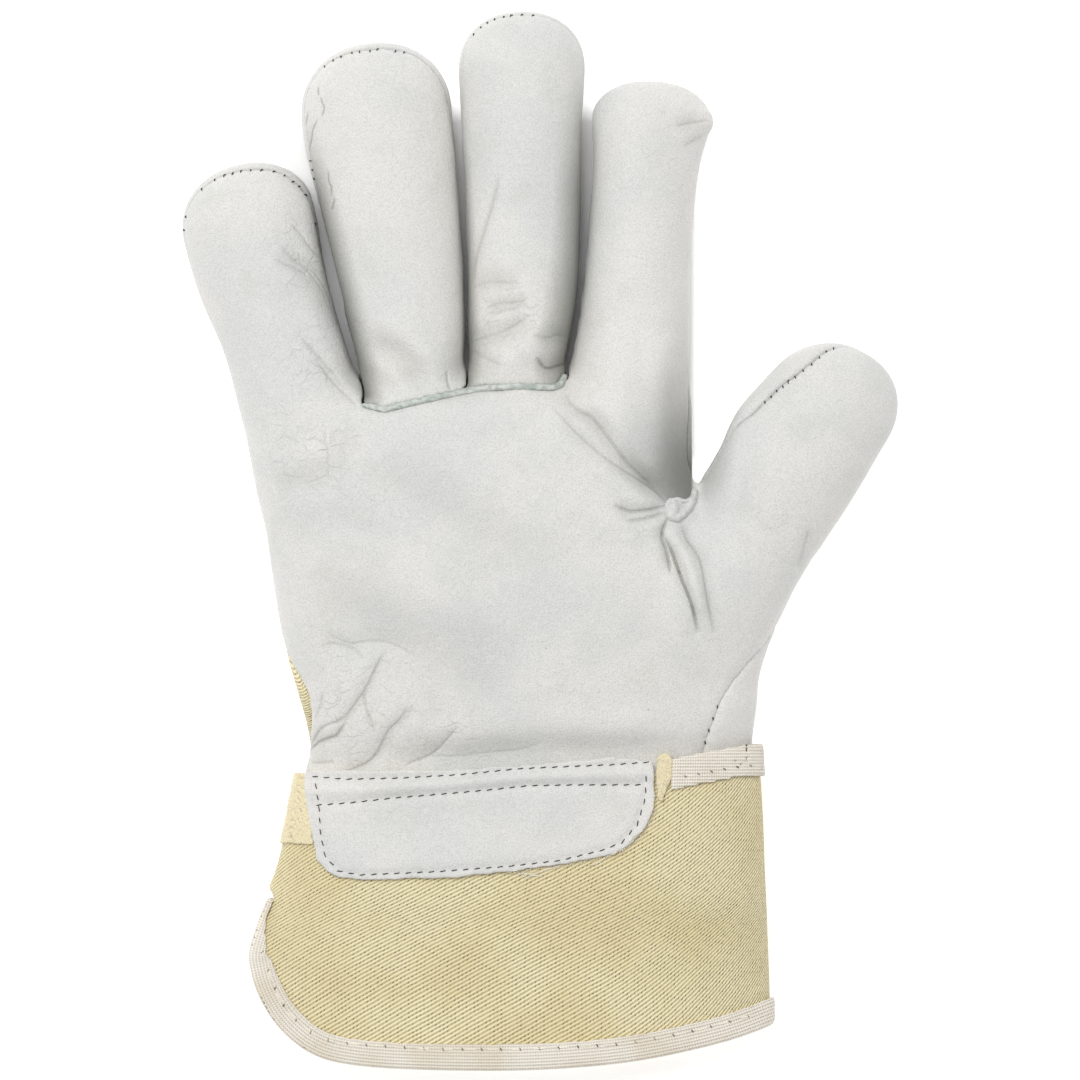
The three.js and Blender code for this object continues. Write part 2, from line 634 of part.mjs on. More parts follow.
function liningTab(outline) {
  return cuffSolid(GAP + TAB).subtract(cuffSolid(GAP))
    .intersect(prism(outline)).intersect(aboveSeam(TAB_CLEAR));
}

// The largest body of a solid as a three.js geometry, without the crumbs that a cut may leave
function geometryOf(solid) {
  const { numProp, vertProperties, triVerts } = solid.getMesh();
  const parent = Array.from({ length: vertProperties.length / numProp }, (_, i) => i);
  const rootOf = (i) => {
    let r = i;
    while (parent[r] !== r) {
      parent[r] = parent[parent[r]];
      r = parent[r];
    }
    return r;
  };
  for (let i = 0; i < triVerts.length; i += 3) {
    parent[rootOf(triVerts[i + 1])] = rootOf(triVerts[i]);
    parent[rootOf(triVerts[i + 2])] = rootOf(triVerts[i]);
  }
  const counts = new Map();
  for (let i = 0; i < triVerts.length; i += 3) {
    const r = rootOf(triVerts[i]);
    counts.set(r, (counts.get(r) ?? 0) + 1);
  }
  const [largest] = [...counts.entries()].sort((a, b) => b[1] - a[1])[0];
  const index = [];
  for (let i = 0; i < triVerts.length; i += 3) {
    if (rootOf(triVerts[i]) === largest) index.push(triVerts[i], triVerts[i + 1], triVerts[i + 2]);
  }
  const geometry = new THREE.BufferGeometry();
  const positions = new Float32Array((vertProperties.length / numProp) * 3);
  for (let i = 0; i < positions.length / 3; i += 1) {
    for (let axis = 0; axis < 3; axis += 1) positions[3 * i + axis] = vertProperties[numProp * i + axis];
  }
  geometry.setAttribute('position', new THREE.BufferAttribute(positions, 3));
  geometry.setIndex(index);
  const tidy = geometry.toNonIndexed();
  tidy.computeVertexNormals();
  return tidy;
}

const leather = new THREE.MeshStandardMaterial({ color: 0xdedcd6, roughness: 0.6, metalness: 0 });
const canvas = new THREE.MeshStandardMaterial({ color: 0xddd09f, roughness: 0.95, metalness: 0 });
const tape = new THREE.MeshStandardMaterial({ color: 0xdbd3bf, roughness: 0.9, metalness: 0 });
const welt = new THREE.MeshStandardMaterial({ color: 0xb6bab4, roughness: 0.95, metalness: 0 });
const lining = new THREE.MeshStandardMaterial({ color: 0xe4d9b4, roughness: 1, metalness: 0 });

const glove = new THREE.Group();
function addPiece(name, solid, material) {
  const mesh = new THREE.Mesh(geometryOf(solid), material);
  mesh.name = name;
  glove.add(mesh);
}

addPiece('palm_panel', palmPanel(), leather);
addPiece('ring_finger_front', ringFingerFront(), leather);
addPiece('middle_finger_front', middleFingerFront(), leather);
addPiece('welt_strip', weltStrip(), welt);
addPiece('back_leather', backLeather(), leather);
addPiece('canvas_back', canvasBack(), canvas);
addPiece('thumb_back', thumbBack(), leather);
addPiece('cuff', cuff(), canvas);
addPiece('hem_binding', hemBinding(), tape);
addPiece('vein_patch', veinPatch(), leather);
addPiece('top_binding', topBinding(), tape);
addPiece('crotch_patch', crotchPatch(), leather);
addPiece('lining_tab_right', liningTab(TAB_RIGHT), lining);
addPiece('lining_tab_left', liningTab(TAB_LEFT), lining);

export default glove;
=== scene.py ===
# %% [markdown]
# # A leather work glove, palm up
# The glove is pale grain leather sewn to a yellow twill cuff. Its solids are already built and
# loaded as a fixed frame. This lesson dresses that frame: every piece becomes a thin shell of
# hide, twill, tape or piping, and then gets its stitches, its fuzz and its finish.

# %% Load the fixed frame
import math

import bmesh
import bpy
import numpy as np
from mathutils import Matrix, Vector
from mathutils.bvhtree import BVHTree
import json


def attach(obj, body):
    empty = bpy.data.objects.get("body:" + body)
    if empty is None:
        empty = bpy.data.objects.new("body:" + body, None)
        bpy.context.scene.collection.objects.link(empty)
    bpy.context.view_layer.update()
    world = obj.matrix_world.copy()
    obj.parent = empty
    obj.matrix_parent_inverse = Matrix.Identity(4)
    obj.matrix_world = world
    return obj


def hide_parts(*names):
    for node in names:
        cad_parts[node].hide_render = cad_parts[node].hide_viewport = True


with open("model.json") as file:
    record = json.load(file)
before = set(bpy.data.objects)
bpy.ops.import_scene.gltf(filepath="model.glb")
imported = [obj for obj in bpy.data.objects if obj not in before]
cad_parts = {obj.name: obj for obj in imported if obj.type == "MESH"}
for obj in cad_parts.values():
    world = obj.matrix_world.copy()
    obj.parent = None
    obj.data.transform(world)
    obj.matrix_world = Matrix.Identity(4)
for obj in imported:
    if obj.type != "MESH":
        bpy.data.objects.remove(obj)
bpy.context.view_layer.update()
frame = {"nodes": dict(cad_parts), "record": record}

print("frame nodes:", len(frame["nodes"]))

# %% [markdown]
# ## Camera first
# The glove was photographed from straight above. A long lens far away keeps the thick palm from
# looking larger than the flat fingers, so the outline can be compared with the real one. The
# distance and the lens are worked out from the width of the ground that the picture spans.

# %% Camera straight above
MM = 0.001
PICTURE_SPAN = 274.9            # millimetres of ground across the square picture
CAMERA_HEIGHT = 4000.0
MEAN_SURFACE = 14.0             # height at which the outline of the glove mostly lies
SENSOR = 36.0


def add_camera():
    data = bpy.data.cameras.new("camera")
    data.sensor_width = SENSOR
    data.lens = SENSOR * (CAMERA_HEIGHT - MEAN_SURFACE) / PICTURE_SPAN
    data.clip_end = 20.0
    camera = bpy.data.objects.new("camera", data)
    camera.location = (0.25 * MM, 0.1 * MM, CAMERA_HEIGHT * MM)
    bpy.context.scene.collection.objects.link(camera)
    bpy.context.scene.camera = camera
    print("camera lens:", round(data.lens, 1), "mm")


add_camera()

# %% [markdown]
# ## The sizes that the glove is made from
# The palm and the cuff are tubes along Y, and every finger is a tube along its own line. Each
# table has a row for a section: where it is, how far it reaches to the left and right, and how
# low and high it is. These are the same rows that the solids were made from, so each shell lies
# where its solid lies.

# %% Sections of the palm, the cuff and the fingers, in millimetres
LEATHER = 1.8
CANVAS = 1.5
GAP = 0.3
SEAM_HEIGHT = 11.0
BODY_POWER = 2.5
FINGER_POWER = 2.2
CUFF_FLOOR = 1.6
KNUCKLE_Y = -25.0
WRIST_END = -66.0
CUFF_TOP_Y = -59.0
FAR = 120.0


def table(names, *rows):
    """Columns by name, each an array with a value per row."""
    return {name: np.array(column, float) for name, column in zip(names.split(), zip(*rows))}


PALM = table(
    "at left right low top floor",
    (-72, -61.6, 55.0, 3.4, 24.8, 3.4),
    (-66, -61.0, 54.8, 3.4, 24.9, 3.4),
    (-60, -59.9, 54.4, 3.4, 25.0, 3.4),
    (-54, -58.6, 54.0, 3.2, 25.6, 3.4),
    (-48, -58.9, 54.6, 0.5, 28.5, 1.2),
    (-40, -61.0, 55.6, -2, 30.0, 0),
    (-26, -65.0, 55.2, -3, 31.5, 0),
    (-12, -67.4, 53.0, -3, 33.0, 0),
    (2, -69.4, 47.5, -3, 33.5, 0),
    (14, -71.2, 41.0, -3, 33.0, 0),
    (26, -71.0, 39.2, -3, 31.5, 0),
    (35, -68.0, 38.6, -2, 29.0, 0),
    (41.5, -61.0, 36.0, 2, 23.0, 0),
)
CUFF = table(
    "at left right low top",
    (-142, -78.0, 58.6, 0.0, 23.4),
    (-122, -78.4, 58.9, 0.0, 24.2),
    (-110, -78.4, 58.6, 0.5, 25.0),
    (-100, -75.6, 58.2, 1.0, 25.6),
    (-92, -70.6, 57.9, 1.6, 26.0),
    (-84, -67.2, 57.5, 1.6, 26.4),
    (-72, -64.2, 57.1, 1.6, 26.6),
    (-66, -63.0, 56.8, 1.6, 26.7),
    (-60, -61.8, 56.4, 1.6, 26.8),
    (-54, -60.8, 56.0, 1.6, 27.4),
    (-46, -60.8, 56.0, 1.6, 26.8),
)
FINGER_COLUMNS = "at left right low top"
FINGERS = {
    "little": dict(root=(-53.2, 10.3), tip=(-75.3, 96.1), closing=16, rows=table(
        FINGER_COLUMNS,
        (-12, -12.0, 10.0, 3, 22.0),
        (0, -15.0, 12.6, 0, 27.0),
        (24, -16.7, 14.4, -2, 27.5),
        (42, -16.9, 13.7, -2, 26.0),
        (60, -19.6, 13.8, -2, 25.0),
        (74, -19.8, 15.2, -1, 23.5),
        (89, -19.0, 15.0, 0, 22.0),
    )),
    "ring": dict(root=(-30.3, 15.4), tip=(-41.2, 126.9), closing=18, rows=table(
        FINGER_COLUMNS,
        (0, -11.2, 12.4, -2, 28.0),
        (22, -11.8, 13.0, -2, 28.5),
        (34, -13.4, 15.0, -2, 28.0),
        (50, -16.3, 16.4, -2, 26.5),
        (68, -18.7, 17.1, -2, 25.5),
        (86, -20.9, 17.4, -1, 24.5),
        (112, -20.8, 17.0, 0, 22.5),
    )),
    "middle": dict(root=(-4.3, 17.9), tip=(-4.3, 134.8), closing=16, rows=table(
        FINGER_COLUMNS,
        (0, -12.4, 11.2, -2, 28.0),
        (27, -13.5, 10.9, -2, 28.5),
        (42, -14.0, 14.0, -2, 27.0),
        (60, -14.4, 15.0, -2, 26.0),
        (84, -15.5, 15.3, -1, 25.0),
        (117, -16.8, 17.0, 0, 23.0),
    )),
    "index": dict(root=(22.7, 10.3), tip=(29.5, 117.2), closing=12, rows=table(
        FINGER_COLUMNS,
        (-14, -13.0, 11.0, 3, 24.0),
        (2, -16.5, 15.0, -1, 28.0),
        (28, -17.4, 14.2, -2, 28.5),
        (46, -15.5, 13.0, -2, 27.0),
        (70, -14.7, 12.2, -2, 25.5),
        (86, -14.6, 13.0, -1, 25.0),
        (98, -15.8, 15.4, 0, 24.5),
        (108, -16.0, 16.0, 0, 24.0),
    )),
    "thumb": dict(root=(41.0, -15.9), tip=(83.2, 48.0), closing=16, rows=table(
        FINGER_COLUMNS,
        (-20, -10.0, 11.0, 3, 22.0),
        (-8, -13.0, 18.6, 0, 27.5),
        (2, -14.5, 20.0, -2, 30.0),
        (17, -14.8, 18.4, -2, 30.0),
        (26, -17.2, 17.9, -2, 29.0),
        (44, -19.2, 17.8, -1, 28.0),
        (60, -17.2, 17.0, -1, 26.0),
        (77, -14.0, 16.8, 0, 24.0),
    )),
}
print("fingers:", ", ".join(FINGERS))

# %% [markdown]
# ## Reading a table between its rows
# A straight line from row to row would leave a kink at every section. A cubic curve with the
# slope of the neighbouring rows passes through each row smoothly, as stretched hide does.

# %% Smooth columns


def column(rows, name, at):
    places = rows["at"]
    values = rows[name]
    slopes = np.gradient(values, places)
    at = np.clip(at, places[0], places[-1])
    i = np.clip(np.searchsorted(places, at, side="right") - 1, 0, len(places) - 2)
    span = places[i + 1] - places[i]
    t = (at - places[i]) / span
    ends = values[i] * (1 + 2 * t) * (1 - t) ** 2 + values[i + 1] * t * t * (3 - 2 * t)
    return ends + span * (slopes[i] * t * (1 - t) ** 2 - slopes[i + 1] * t * t * (1 - t))


print("palm is", round(float(column(PALM, "top", 0.0)), 1), "mm high in its middle")

# %% [markdown]
# ## Lines drawn on the glove
# Seams, piping, stitch rows and creases are all chains of points seen from above. One helper
# gives every spot of a grid its distance to such a chain and how far along the chain it is, and
# another says whether a spot is inside an outline. Everything that follows is built from them.

# %% Distance to a line and to an outline


def line_distance(x, y, line):
    """Distance to a chain of points, the share of its length there, and the side of it."""
    points = np.array(line, float)
    runs = np.diff(points, axis=0)
    lengths = np.hypot(runs[:, 0], runs[:, 1])
    starts = np.concatenate([[0], np.cumsum(lengths)])
    best = np.full(x.shape, np.inf)
    share = np.zeros(x.shape)
    side = np.zeros(x.shape)
    for point, run, length, start in zip(points, runs, lengths, starts):
        across_x = x - point[0]
        across_y = y - point[1]
        t = np.clip((across_x * run[0] + across_y * run[1]) / length ** 2, 0, 1)
        distance = np.hypot(across_x - t * run[0], across_y - t * run[1])
        nearer = distance < best
        best = np.where(nearer, distance, best)
        share = np.where(nearer, (start + t * length) / starts[-1], share)
        side = np.where(nearer, run[0] * across_y - run[1] * across_x, side)
    return best, share, side


def outline_distance(x, y, outline):
    """Distance to a closed outline, negative inside it."""
    distance, _, _ = line_distance(x, y, [*outline, outline[0]])
    inside = np.zeros(x.shape, bool)
    for (x0, y0), (x1, y1) in zip(outline, [*outline[1:], outline[0]]):
        if y0 == y1:
            continue
        crosses = (y0 > y) != (y1 > y)
        inside ^= crosses & (x < (x1 - x0) * (y - y0) / (y1 - y0) + x0)
    return np.where(inside, -distance, distance)


def ramp(value):
    """0 below 0, 1 above 1, and smooth between."""
    t = np.clip(value, 0, 1)
    return t * t * (3 - 2 * t)


def bell(distance, width):
    """1 at no distance, fading out over about two widths."""
    return np.exp(-(distance / width) ** 2)


def distance_to(x, y, line):
    return line_distance(x, y, line)[0]


def signed_distance(x, y, line):
    """Distance to a chain, negative on its right."""
    distance, _, side = line_distance(x, y, line)
    return np.where(side > 0, distance, -distance)


def fading_line(x, y, line, steepness, least=0):
    """Distance to a chain, and a strength that falls to the least value at both of its ends."""
    distance, share, _ = line_distance(x, y, line)
    return distance, np.sqrt(np.clip(steepness * np.minimum(share, 1 - share), least, 1))


def nearest_of(x, y, lines):
    return np.min([distance_to(x, y, line) for line in lines], axis=0)


def groove_along(x, y, line, groove):
    """How deep a groove along a line is at each spot, from its depth and width."""
    depth, width = groove
    return depth * bell(distance_to(x, y, line), width)


def soft_min(a, b, blend):
    h = np.clip(0.5 + 0.5 * (b - a) / blend, 0, 1)
    return b + (a - b) * h - blend * h * (1 - h)


def soft_max(a, b, blend):
    return -soft_min(-a, -b, blend)


# %% [markdown]
# ## Rounding a chain of points
# The hem and the folds bend smoothly, and a chain of straight runs would press a kink into the
# leather at each of its points. A curve through all the points, with four spots to each run, has
# none and still needs only the few points that are easy to judge.

# %% Rounded chains
SPOTS_PER_RUN = 4


def curved(chain):
    """The same chain with more points, on a smooth curve through the given ones."""
    points = np.array([chain[0], *chain, chain[-1]], float)
    steps = np.arange(SPOTS_PER_RUN)[:, None] / SPOTS_PER_RUN
    runs = []
    for before, start, end, after in zip(points, points[1:], points[2:], points[3:]):
        runs.append(0.5 * (2 * start + (end - before) * steps
                           + (2 * before - 5 * start + 4 * end - after) * steps ** 2
                           + (3 * start - before - 3 * end + after) * steps ** 3))
    return [*np.concatenate(runs).tolist(), list(chain[-1])]


# %% [markdown]
# ## Seams, edges and stitch lines
# These chains follow the real seams. A palm-up glove shows the piping at the foot of the two
# middle fingers, the seam over the gusset beside the heel of the hand, and the hem.

# %% Chains in millimetres
WELT_LINE = [
    (-44.8, 34.5), (-39.2, 33.2), (-35.4, 34.2), (-19.3, 37.8), (-15.0, 38.6), (-4.8, 39.1),
    (3.3, 38.8), (5.5, 39.5), (6.4, 41.6),
]
RING_SLIT = [(-44.3, 37.0), (-52.9, 71.0), (-62, 106), (-64, 150)]
MIDDLE_SLIT = [(-18.3, 39.5), (-18.1, 48.5), (-19.3, 74.0), (-21.9, 116), (-22, 150)]
INDEX_SLIT = [(7.0, 40.5), (8.4, 53.6), (11.5, 74.0), (13.0, 104.5), (13.2, 150)]
SLITS = (RING_SLIT, MIDDLE_SLIT, INDEX_SLIT)
GUSSET_LINE = [
    (70.5, -4.5), (63.6, -15.1), (60.8, -20.2), (57.3, -25.8), (53.4, -30.2), (49.1, -35.5),
    (45.8, -40.8), (44.3, -44.9), (42.5, -50.0), (41.2, -56.0), (40.8, -74.0),
]
GUSSET_STITCH_LINE = GUSSET_LINE[6:10]
GUSSET_FOLD = GUSSET_LINE[2:9]
THUMB_BACK_LINE = [(36, -80), (36, -40), (40, -12), (39.6, 12.6), (48, 30), (48, 70)]
HEM = table(
    "x y tape",
    (-69.2, -90.5, 1.6),
    (-71.8, -96.8, 2.6),
    (-74.1, -104.5, 5.4),
    (-73.6, -109.6, 6.8),
    (-71.8, -115.4, 7.2),
    (-68.2, -121.8, 7.2),
    (-63.6, -126.8, 7.2),
    (-58.3, -130.5, 7.2),
    (-51.4, -132.9, 7.2),
    (-37.9, -134.4, 7.2),
    (-12.0, -135.0, 7.2),
    (8.0, -134.3, 7.2),
    (27.0, -132.2, 7.2),
    (47.8, -127.6, 7.2),
    (62.0, -122.6, 7.2),
)
HEM_LINE = curved(list(zip(HEM["x"], HEM["y"])))
PATCH_OUTLINE = [
    (-60.0, -58.4), (-59.2, -66.0), (-58.2, -72.0), (-56.5, -81.0), (-54.2, -84.1), (-50.4, -85.9),
    (-44.0, -86.3), (-19.1, -85.4), (-7.4, -84.1), (6.0, -82.4), (19.1, -79.6), (23.9, -76.7),
    (27.2, -72.9), (29.3, -68.6), (29.4, -64.0), (29.0, -55.8), (19.0, -55.0), (0.0, -56.6),
    (-20.0, -58.0),
]
FRAYED_EDGE = PATCH_OUTLINE[8:14]
PATCH_ROW_TOP = [
    (-58.3, -59.9), (-49.4, -60.6), (-35.4, -60.3), (-20.1, -59.4), (-5.3, -57.9), (5.9, -57.4),
    (18.1, -56.9), (28.6, -56.2),
]
PATCH_ROW_LOWER = [
    (-57.3, -67.3), (-48.1, -66.6), (-36.6, -65.3), (-25.4, -64.4), (-14.0, -63.4), (-2.3, -62.2),
    (9.4, -62.0), (26.5, -62.0),
]
PATCH_ROW_EDGE = [
    (-56.9, -61.0), (-55.9, -67.6), (-55.5, -74.4), (-54.3, -80.2), (-50.9, -83.9), (-45.6, -84.9),
    (-25.7, -84.0), (-7.1, -82.6), (5.3, -81.2), (16.0, -78.6), (21.1, -76.6), (25.0, -71.9),
    (27.0, -65.3), (27.2, -59.0),
]
HEM_STITCH_LINE = [
    (-71.0, -102.2), (-69.5, -107.3), (-68.0, -111.3), (-66.2, -115.9), (-63.9, -119.7),
    (-60.8, -122.8), (-56.8, -125.9), (-51.9, -127.4), (-46.8, -127.9), (-36.9, -128.6),
    (-26.7, -129.2), (-15.8, -129.2), (-3.6, -129.2), (9.4, -128.6), (21.1, -127.9), (32.1, -126.1),
    (41.5, -124.1), (50.1, -121.8), (55.5, -120.2),
]
TOP_TAPE_FRONT = [(33.4, -55.2), (41.0, -53.6), (48.6, -52.2), (52, -51.6), (FAR, -51.6)]
TOP_TAPE_BACK = [(-FAR, -52.8), (30, -52.8), (50, -51.6), (FAR, -51.6)]
TOP_TAPE_WIDTH = 8.6
TOP_TAPE_STITCH_LINE = [(35.5, -60.2), (41, -59.2), (48.6, -57.8), (55.5, -57.0)]
TAB_RIGHT = [
    (30.0, -54.8), (31.4, -53.7), (33.3, -54.2), (34.1, -56.8), (33.9, -60.4), (32.5, -63.2),
    (31.4, -66.6), (30.2, -65.8), (29.6, -60.0),
]
TAB_LEFT = [(-FAR, -58.8), (-59.0, -58.8), (-57.6, -72.4), (-56.9, -77.4), (-FAR, -77.4)]
CROTCH = (35.8, 7.9)
print("hem line:", len(HEM_LINE), "points, patch outline:", len(PATCH_OUTLINE), "points")

# %% [markdown]
# ## Creases and swellings
# Worn hide keeps a record of every bend. Each row here is a chain with a broad, soft valley and
# with a sharp line at the bottom of it, and both fade out at the ends. A negative depth is a
# swelling, such as the roll of palm leather above the wrist patch. The valleys are added to the
# form before it is meshed, so the hide stays equally thick through each fold.

# %% Table of folds
INDEX_FOLD = [(3.0, 33.5), (10.7, 25.6), (17.3, 20.0), (23.7, 15.9), (29.3, 12.1), (32.4, 9.0)]
ROLL_LEFT = [(31.6, 1.0), (33.5, -2.4), (36.1, -9.6), (37.4, -12.8), (38.9, -16.9), (40.4, -23.6)]
ROLL_RIGHT = [(36.0, 4.4), (37.6, 0.2), (39.7, -2.9), (41.3, -6.5), (42.8, -15.3), (44.5, -23.6)]
FOLDS = [
    # width and depth of the valley, depth of the line, chain, all in millimetres
    (2.1, 1.5, 0.5, [(6.5, 37.5), (9.7, 33.2), (13.7, 30.9), (18.3, 25.1), (22.1, 20), (27.2, 14.9),
                     (32.6, 9.6)]),
    (2.0, 0.7, 0.0, [(5.0, 31.5), (10.7, 25.6), (17.3, 20.0), (23.7, 15.9), (29.3, 12.1), (31.8, 9.5)]),
    (1.5, 1.0, 0.6, [(32.4, 8.8), (28.3, 7.8), (24.1, 7.3), (22.6, 7.5), (19.0, 8.8)]),
    (1.3, 0.6, 0.5, [(32.6, 7.3), (29.3, 6.2), (26.2, 5.4), (22.1, 4.9)]),
    (1.3, 0.9, 0.8, [(33.0, 6.0), (31.4, 2.8), (31.3, 0.2), (32.2, -2.4), (33.0, -6.0), (33.4, -8.4)]),
    (1.4, 1.0, 1.2, ROLL_LEFT),
    (1.6, 1.0, 0.5, ROLL_RIGHT),
    (1.4, 0.6, 0.3, [(68.5, 2.9), (67.2, -2.4), (65.7, -7.0)]),
    (2.6, 1.5, 0.0, [(-43.5, 52.0), (-38.7, 48.8), (-35.9, 47.7), (-32.3, 43.9), (-28.0, 40.0)]),
    (1.4, 1.3, 0.0, [(-45.9, 40.5), (-43.5, 35.8)]),
    (0.9, 0.2, 0.5, [(-23.4, 43.0), (-23.0, 39.8), (-22.3, 38.0)]),
    (2.4, 0.8, 0.2, [(-65.5, 74.3), (-62.3, 71.1), (-58.6, 68.4), (-55, 63.4), (-53.6, 59.8), (-50, 52.4)]),
    (0.8, 0.1, 0.35, [(-62.8, 80.4), (-59.6, 76.6), (-57.7, 73.9), (-55.0, 71.5)]),
    (0.8, 0.1, 0.35, [(-67.3, 71.4), (-64.1, 70.0), (-61.8, 69.1), (-58.9, 67.5)]),
    (1.1, 0.3, 0.35, [(-60.2, 51.3), (-56.8, 47.5), (-53.6, 43.9), (-50.9, 41.6)]),
    (1.1, 0.3, 0.35, [(-56.5, 45.9), (-52.7, 40.7), (-49.6, 37.5), (-45.9, 33.8)]),
    (3.0, 0.7, 0.0, [(-67.4, 13.5), (-62.3, 15.2), (-57.7, 15.7), (-52.7, 14.3)]),
    (3.0, 0.5, 0.0, [(-57.3, 15.7), (-52.3, 19.3), (-49.6, 22.9), (-45.4, 27.5)]),
    (1.2, 0.4, 0.45, [(-10.2, 92.2), (-12.0, 84.9), (-13.4, 80.4), (-15.9, 72.2), (-16.5, 66.1)]),
    (2.2, 0.8, 0.1, [(-16.6, 64.3), (-13.4, 65.4), (-10.2, 65.6), (-4.7, 65.2)]),
    (2.4, 1.0, 0.1, [(-13.4, 58.8), (-9.7, 60.2), (-7.0, 60.2), (-2.9, 60.9)]),
    (1.3, 0.4, 0.15, [(-13.9, 57.3), (-9.3, 58.1), (-4.7, 58.9)]),
    (3.0, 1.7, 0.25, [(-18.1, 50.0), (-13.8, 51.6), (-9.9, 52.6), (-6.0, 54.5), (-2.3, 57.1)]),
    (5.0, -1.2, 0.0, [(-16.0, 45.5), (-10.0, 45.0), (-4.0, 47.0)]),
    (1.5, 0.7, 0.3, [(-1.6, 52.0), (2.1, 51.3), (4.4, 52.0), (7.2, 51.8)]),
    (2.2, 0.9, 0.15, [(-17.4, 48.8), (-13.8, 46.3), (-9.7, 44.3)]),
    (1.6, 1.2, 0.8, [(-0.6, 46.4), (1.2, 44.0), (3.0, 43.7), (5.3, 44.5), (7.2, 44.9)]),
    (1.6, 0.8, 0.3, [(43.0, 106.6), (38.9, 106.0), (34.9, 105.2)]),
    (1.3, 0.5, 0.2, [(41.5, 102.9), (36.6, 99.9)]),
    (1.9, 0.4, 0.25, [(-55.3, -27.0), (-52.7, -26.2), (-48.8, -26.8), (-46.5, -27.9), (-44.4, -30.4)]),
    (1.9, 0.5, 0.2, [(-53.2, -24.1), (-48, -26.2), (-43.8, -25.6), (-38.7, -25.8), (-34.8, -27.4),
                     (-31.2, -29.6)]),
    (1.5, 0.5, 0.5, [(-39.2, -28.3), (-41.8, -33.4), (-44.2, -38.1), (-48.3, -43.9), (-49.6, -46.8)]),
    (1.3, 0.6, 0.7, [(-49.2, -46.3), (-51.2, -49.4), (-53.1, -50.2), (-55.8, -51.3), (-58.8, -54.0)]),
    (1.0, 0.3, 0.5, [(-48.3, -43.9), (-50.4, -45.7), (-54.7, -47.4), (-56.6, -49.8), (-58, -52.7)]),
    (1.8, 0.6, 0.5, [(-32.8, -42.0), (-35.6, -45.9), (-38.1, -48.2), (-40.8, -53.5), (-43.8, -56.6),
                     (-49.7, -59.1)]),
    (1.0, 0.2, 0.4, [(-44.3, -38.4), (-44.0, -42.3), (-42.8, -45.5), (-41.7, -49.0)]),
    (1.6, 0.4, 0.4, [(-20.4, -47.2), (-23.6, -50.9), (-25.9, -53.3), (-28.6, -55.0), (-33.7, -57.0)]),
    (0.8, 0.1, 0.35, [(-54.8, -38.2), (-55.5, -42.0), (-56.8, -45.4)]),
    (1.1, 0.2, 0.35, [(-58.2, -56.7), (-52.0, -56.4)]),
    (2.4, 0.35, 0.1, [(-34.1, -57.5), (-28.8, -54.8), (-20.8, -54.8), (-12.8, -53.8), (-4.8, -53.1),
                      (0.5, -51.2)]),
    (2.6, 0.25, 0.0, [(-0.5, -51.6), (3.2, -51.0), (8.5, -52.5), (21.8, -52.1), (31.8, -53.1)]),
    (4.6, 6.0, 0.0, [(41.0, 52.0), (40.0, 30.0), (39.2, 17.0), (37.6, 10.6)]),
    (5.0, -0.5, 0.0, [(-52.0, -52.0), (-36.0, -51.5), (-18.0, -50.5), (-6.0, -49.0)]),
    (4.5, -0.7, 0.0, [(-55.0, -35.0), (-48.0, -36.0), (-46.0, -31.0)]),
    (4.0, -0.4, 0.0, [(4.0, -47.5), (16.0, -48.0), (30.0, -47.5)]),
    (2.2, -0.9, 0.0, [(36.4, 1.4), (38.6, -8.0), (41.0, -20.0)]),
    (6.0, -1.0, 0.0, [(-55.0, 60.0), (-50.0, 45.0), (-50.5, 36.0)]),
    (3.0, -0.8, 0.0, [(-24.0, 52.0), (-23.0, 44.0)]),
    (7.0, -0.8, 0.0, [(-50.0, 2.0), (-30.0, -14.0), (-4.0, -26.0)]),
    (7.0, 0.7, 0.0, [(-58.0, -8.0), (-36.0, -24.0), (-8.0, -38.0)]),
    (6.0, 0.6, 0.0, [(-40.0, 22.0), (-20.0, 6.0), (6.0, -6.0)]),
]
LAPS = [
    # height of the step, reach of the swelling behind it, chain with the high side on its right
    (1.2, 6.0, INDEX_FOLD),
    (0.7, 5.0, ROLL_LEFT),
    (0.6, 2.4, ROLL_RIGHT),
    (0.5, 4.0, [(-16.5, 64.1), (-15.9, 72.2), (-13.4, 80.4), (-12.0, 84.9), (-9.6, 94.2)]),
    (0.5, 5.0, [(-66.5, 75.3), (-61.8, 70.5), (-57.8, 68.0), (-54.6, 63.0), (-53.2, 59.0), (-49.5, 51.0)]),
    (0.6, 3.5, GUSSET_FOLD),
    (0.5, 4.0, [(-31.8, -41.0), (-35.6, -45.9), (-38.1, -48.2), (-40.8, -53.5), (-44.8, -57.6)]),
    (0.5, 4.0, [(-38.7, -27.3), (-41.8, -33.4), (-44.2, -38.1), (-48.3, -43.9), (-50.6, -48.8)]),
]
LAP_WIDTH = 0.7
CRACKS = [
    [(-56.1, 115.2), (-56.1, 113.0)],
    [(-55.6, 112.7), (-55.0, 111.0), (-54.6, 109.8), (-55.2, 107.6)],
    [(-56.2, 107.1), (-57.5, 104.2), (-57.8, 101.8), (-58.4, 99.4), (-58.2, 97.6)],
    [(-58.7, 109.1), (-59.2, 106.2), (-59.7, 104.2), (-59.2, 102.3)],
    [(-53.6, 93.8), (-53.4, 91.1), (-52.8, 89.6), (-52.9, 87.2)],
    [(-51.9, 86.9), (-52.7, 83.8)],
]
CRACK_DEPTH = 0.3
LINE_WIDTH = 0.34
RIDGE_SHARE = 0.35               # a valley pushes up a ridge this high on both sides,
RIDGE_PLACE = 2.1                # this many widths from its middle
FOLDS = [(*numbers, curved(chain)) for *numbers, chain in FOLDS]
LAPS = [(*numbers, curved(chain)) for *numbers, chain in LAPS]
CRACKS = [curved(chain) for chain in CRACKS]
print("folds and swellings:", len(FOLDS), "laps:", len(LAPS), "cracks:", len(CRACKS))


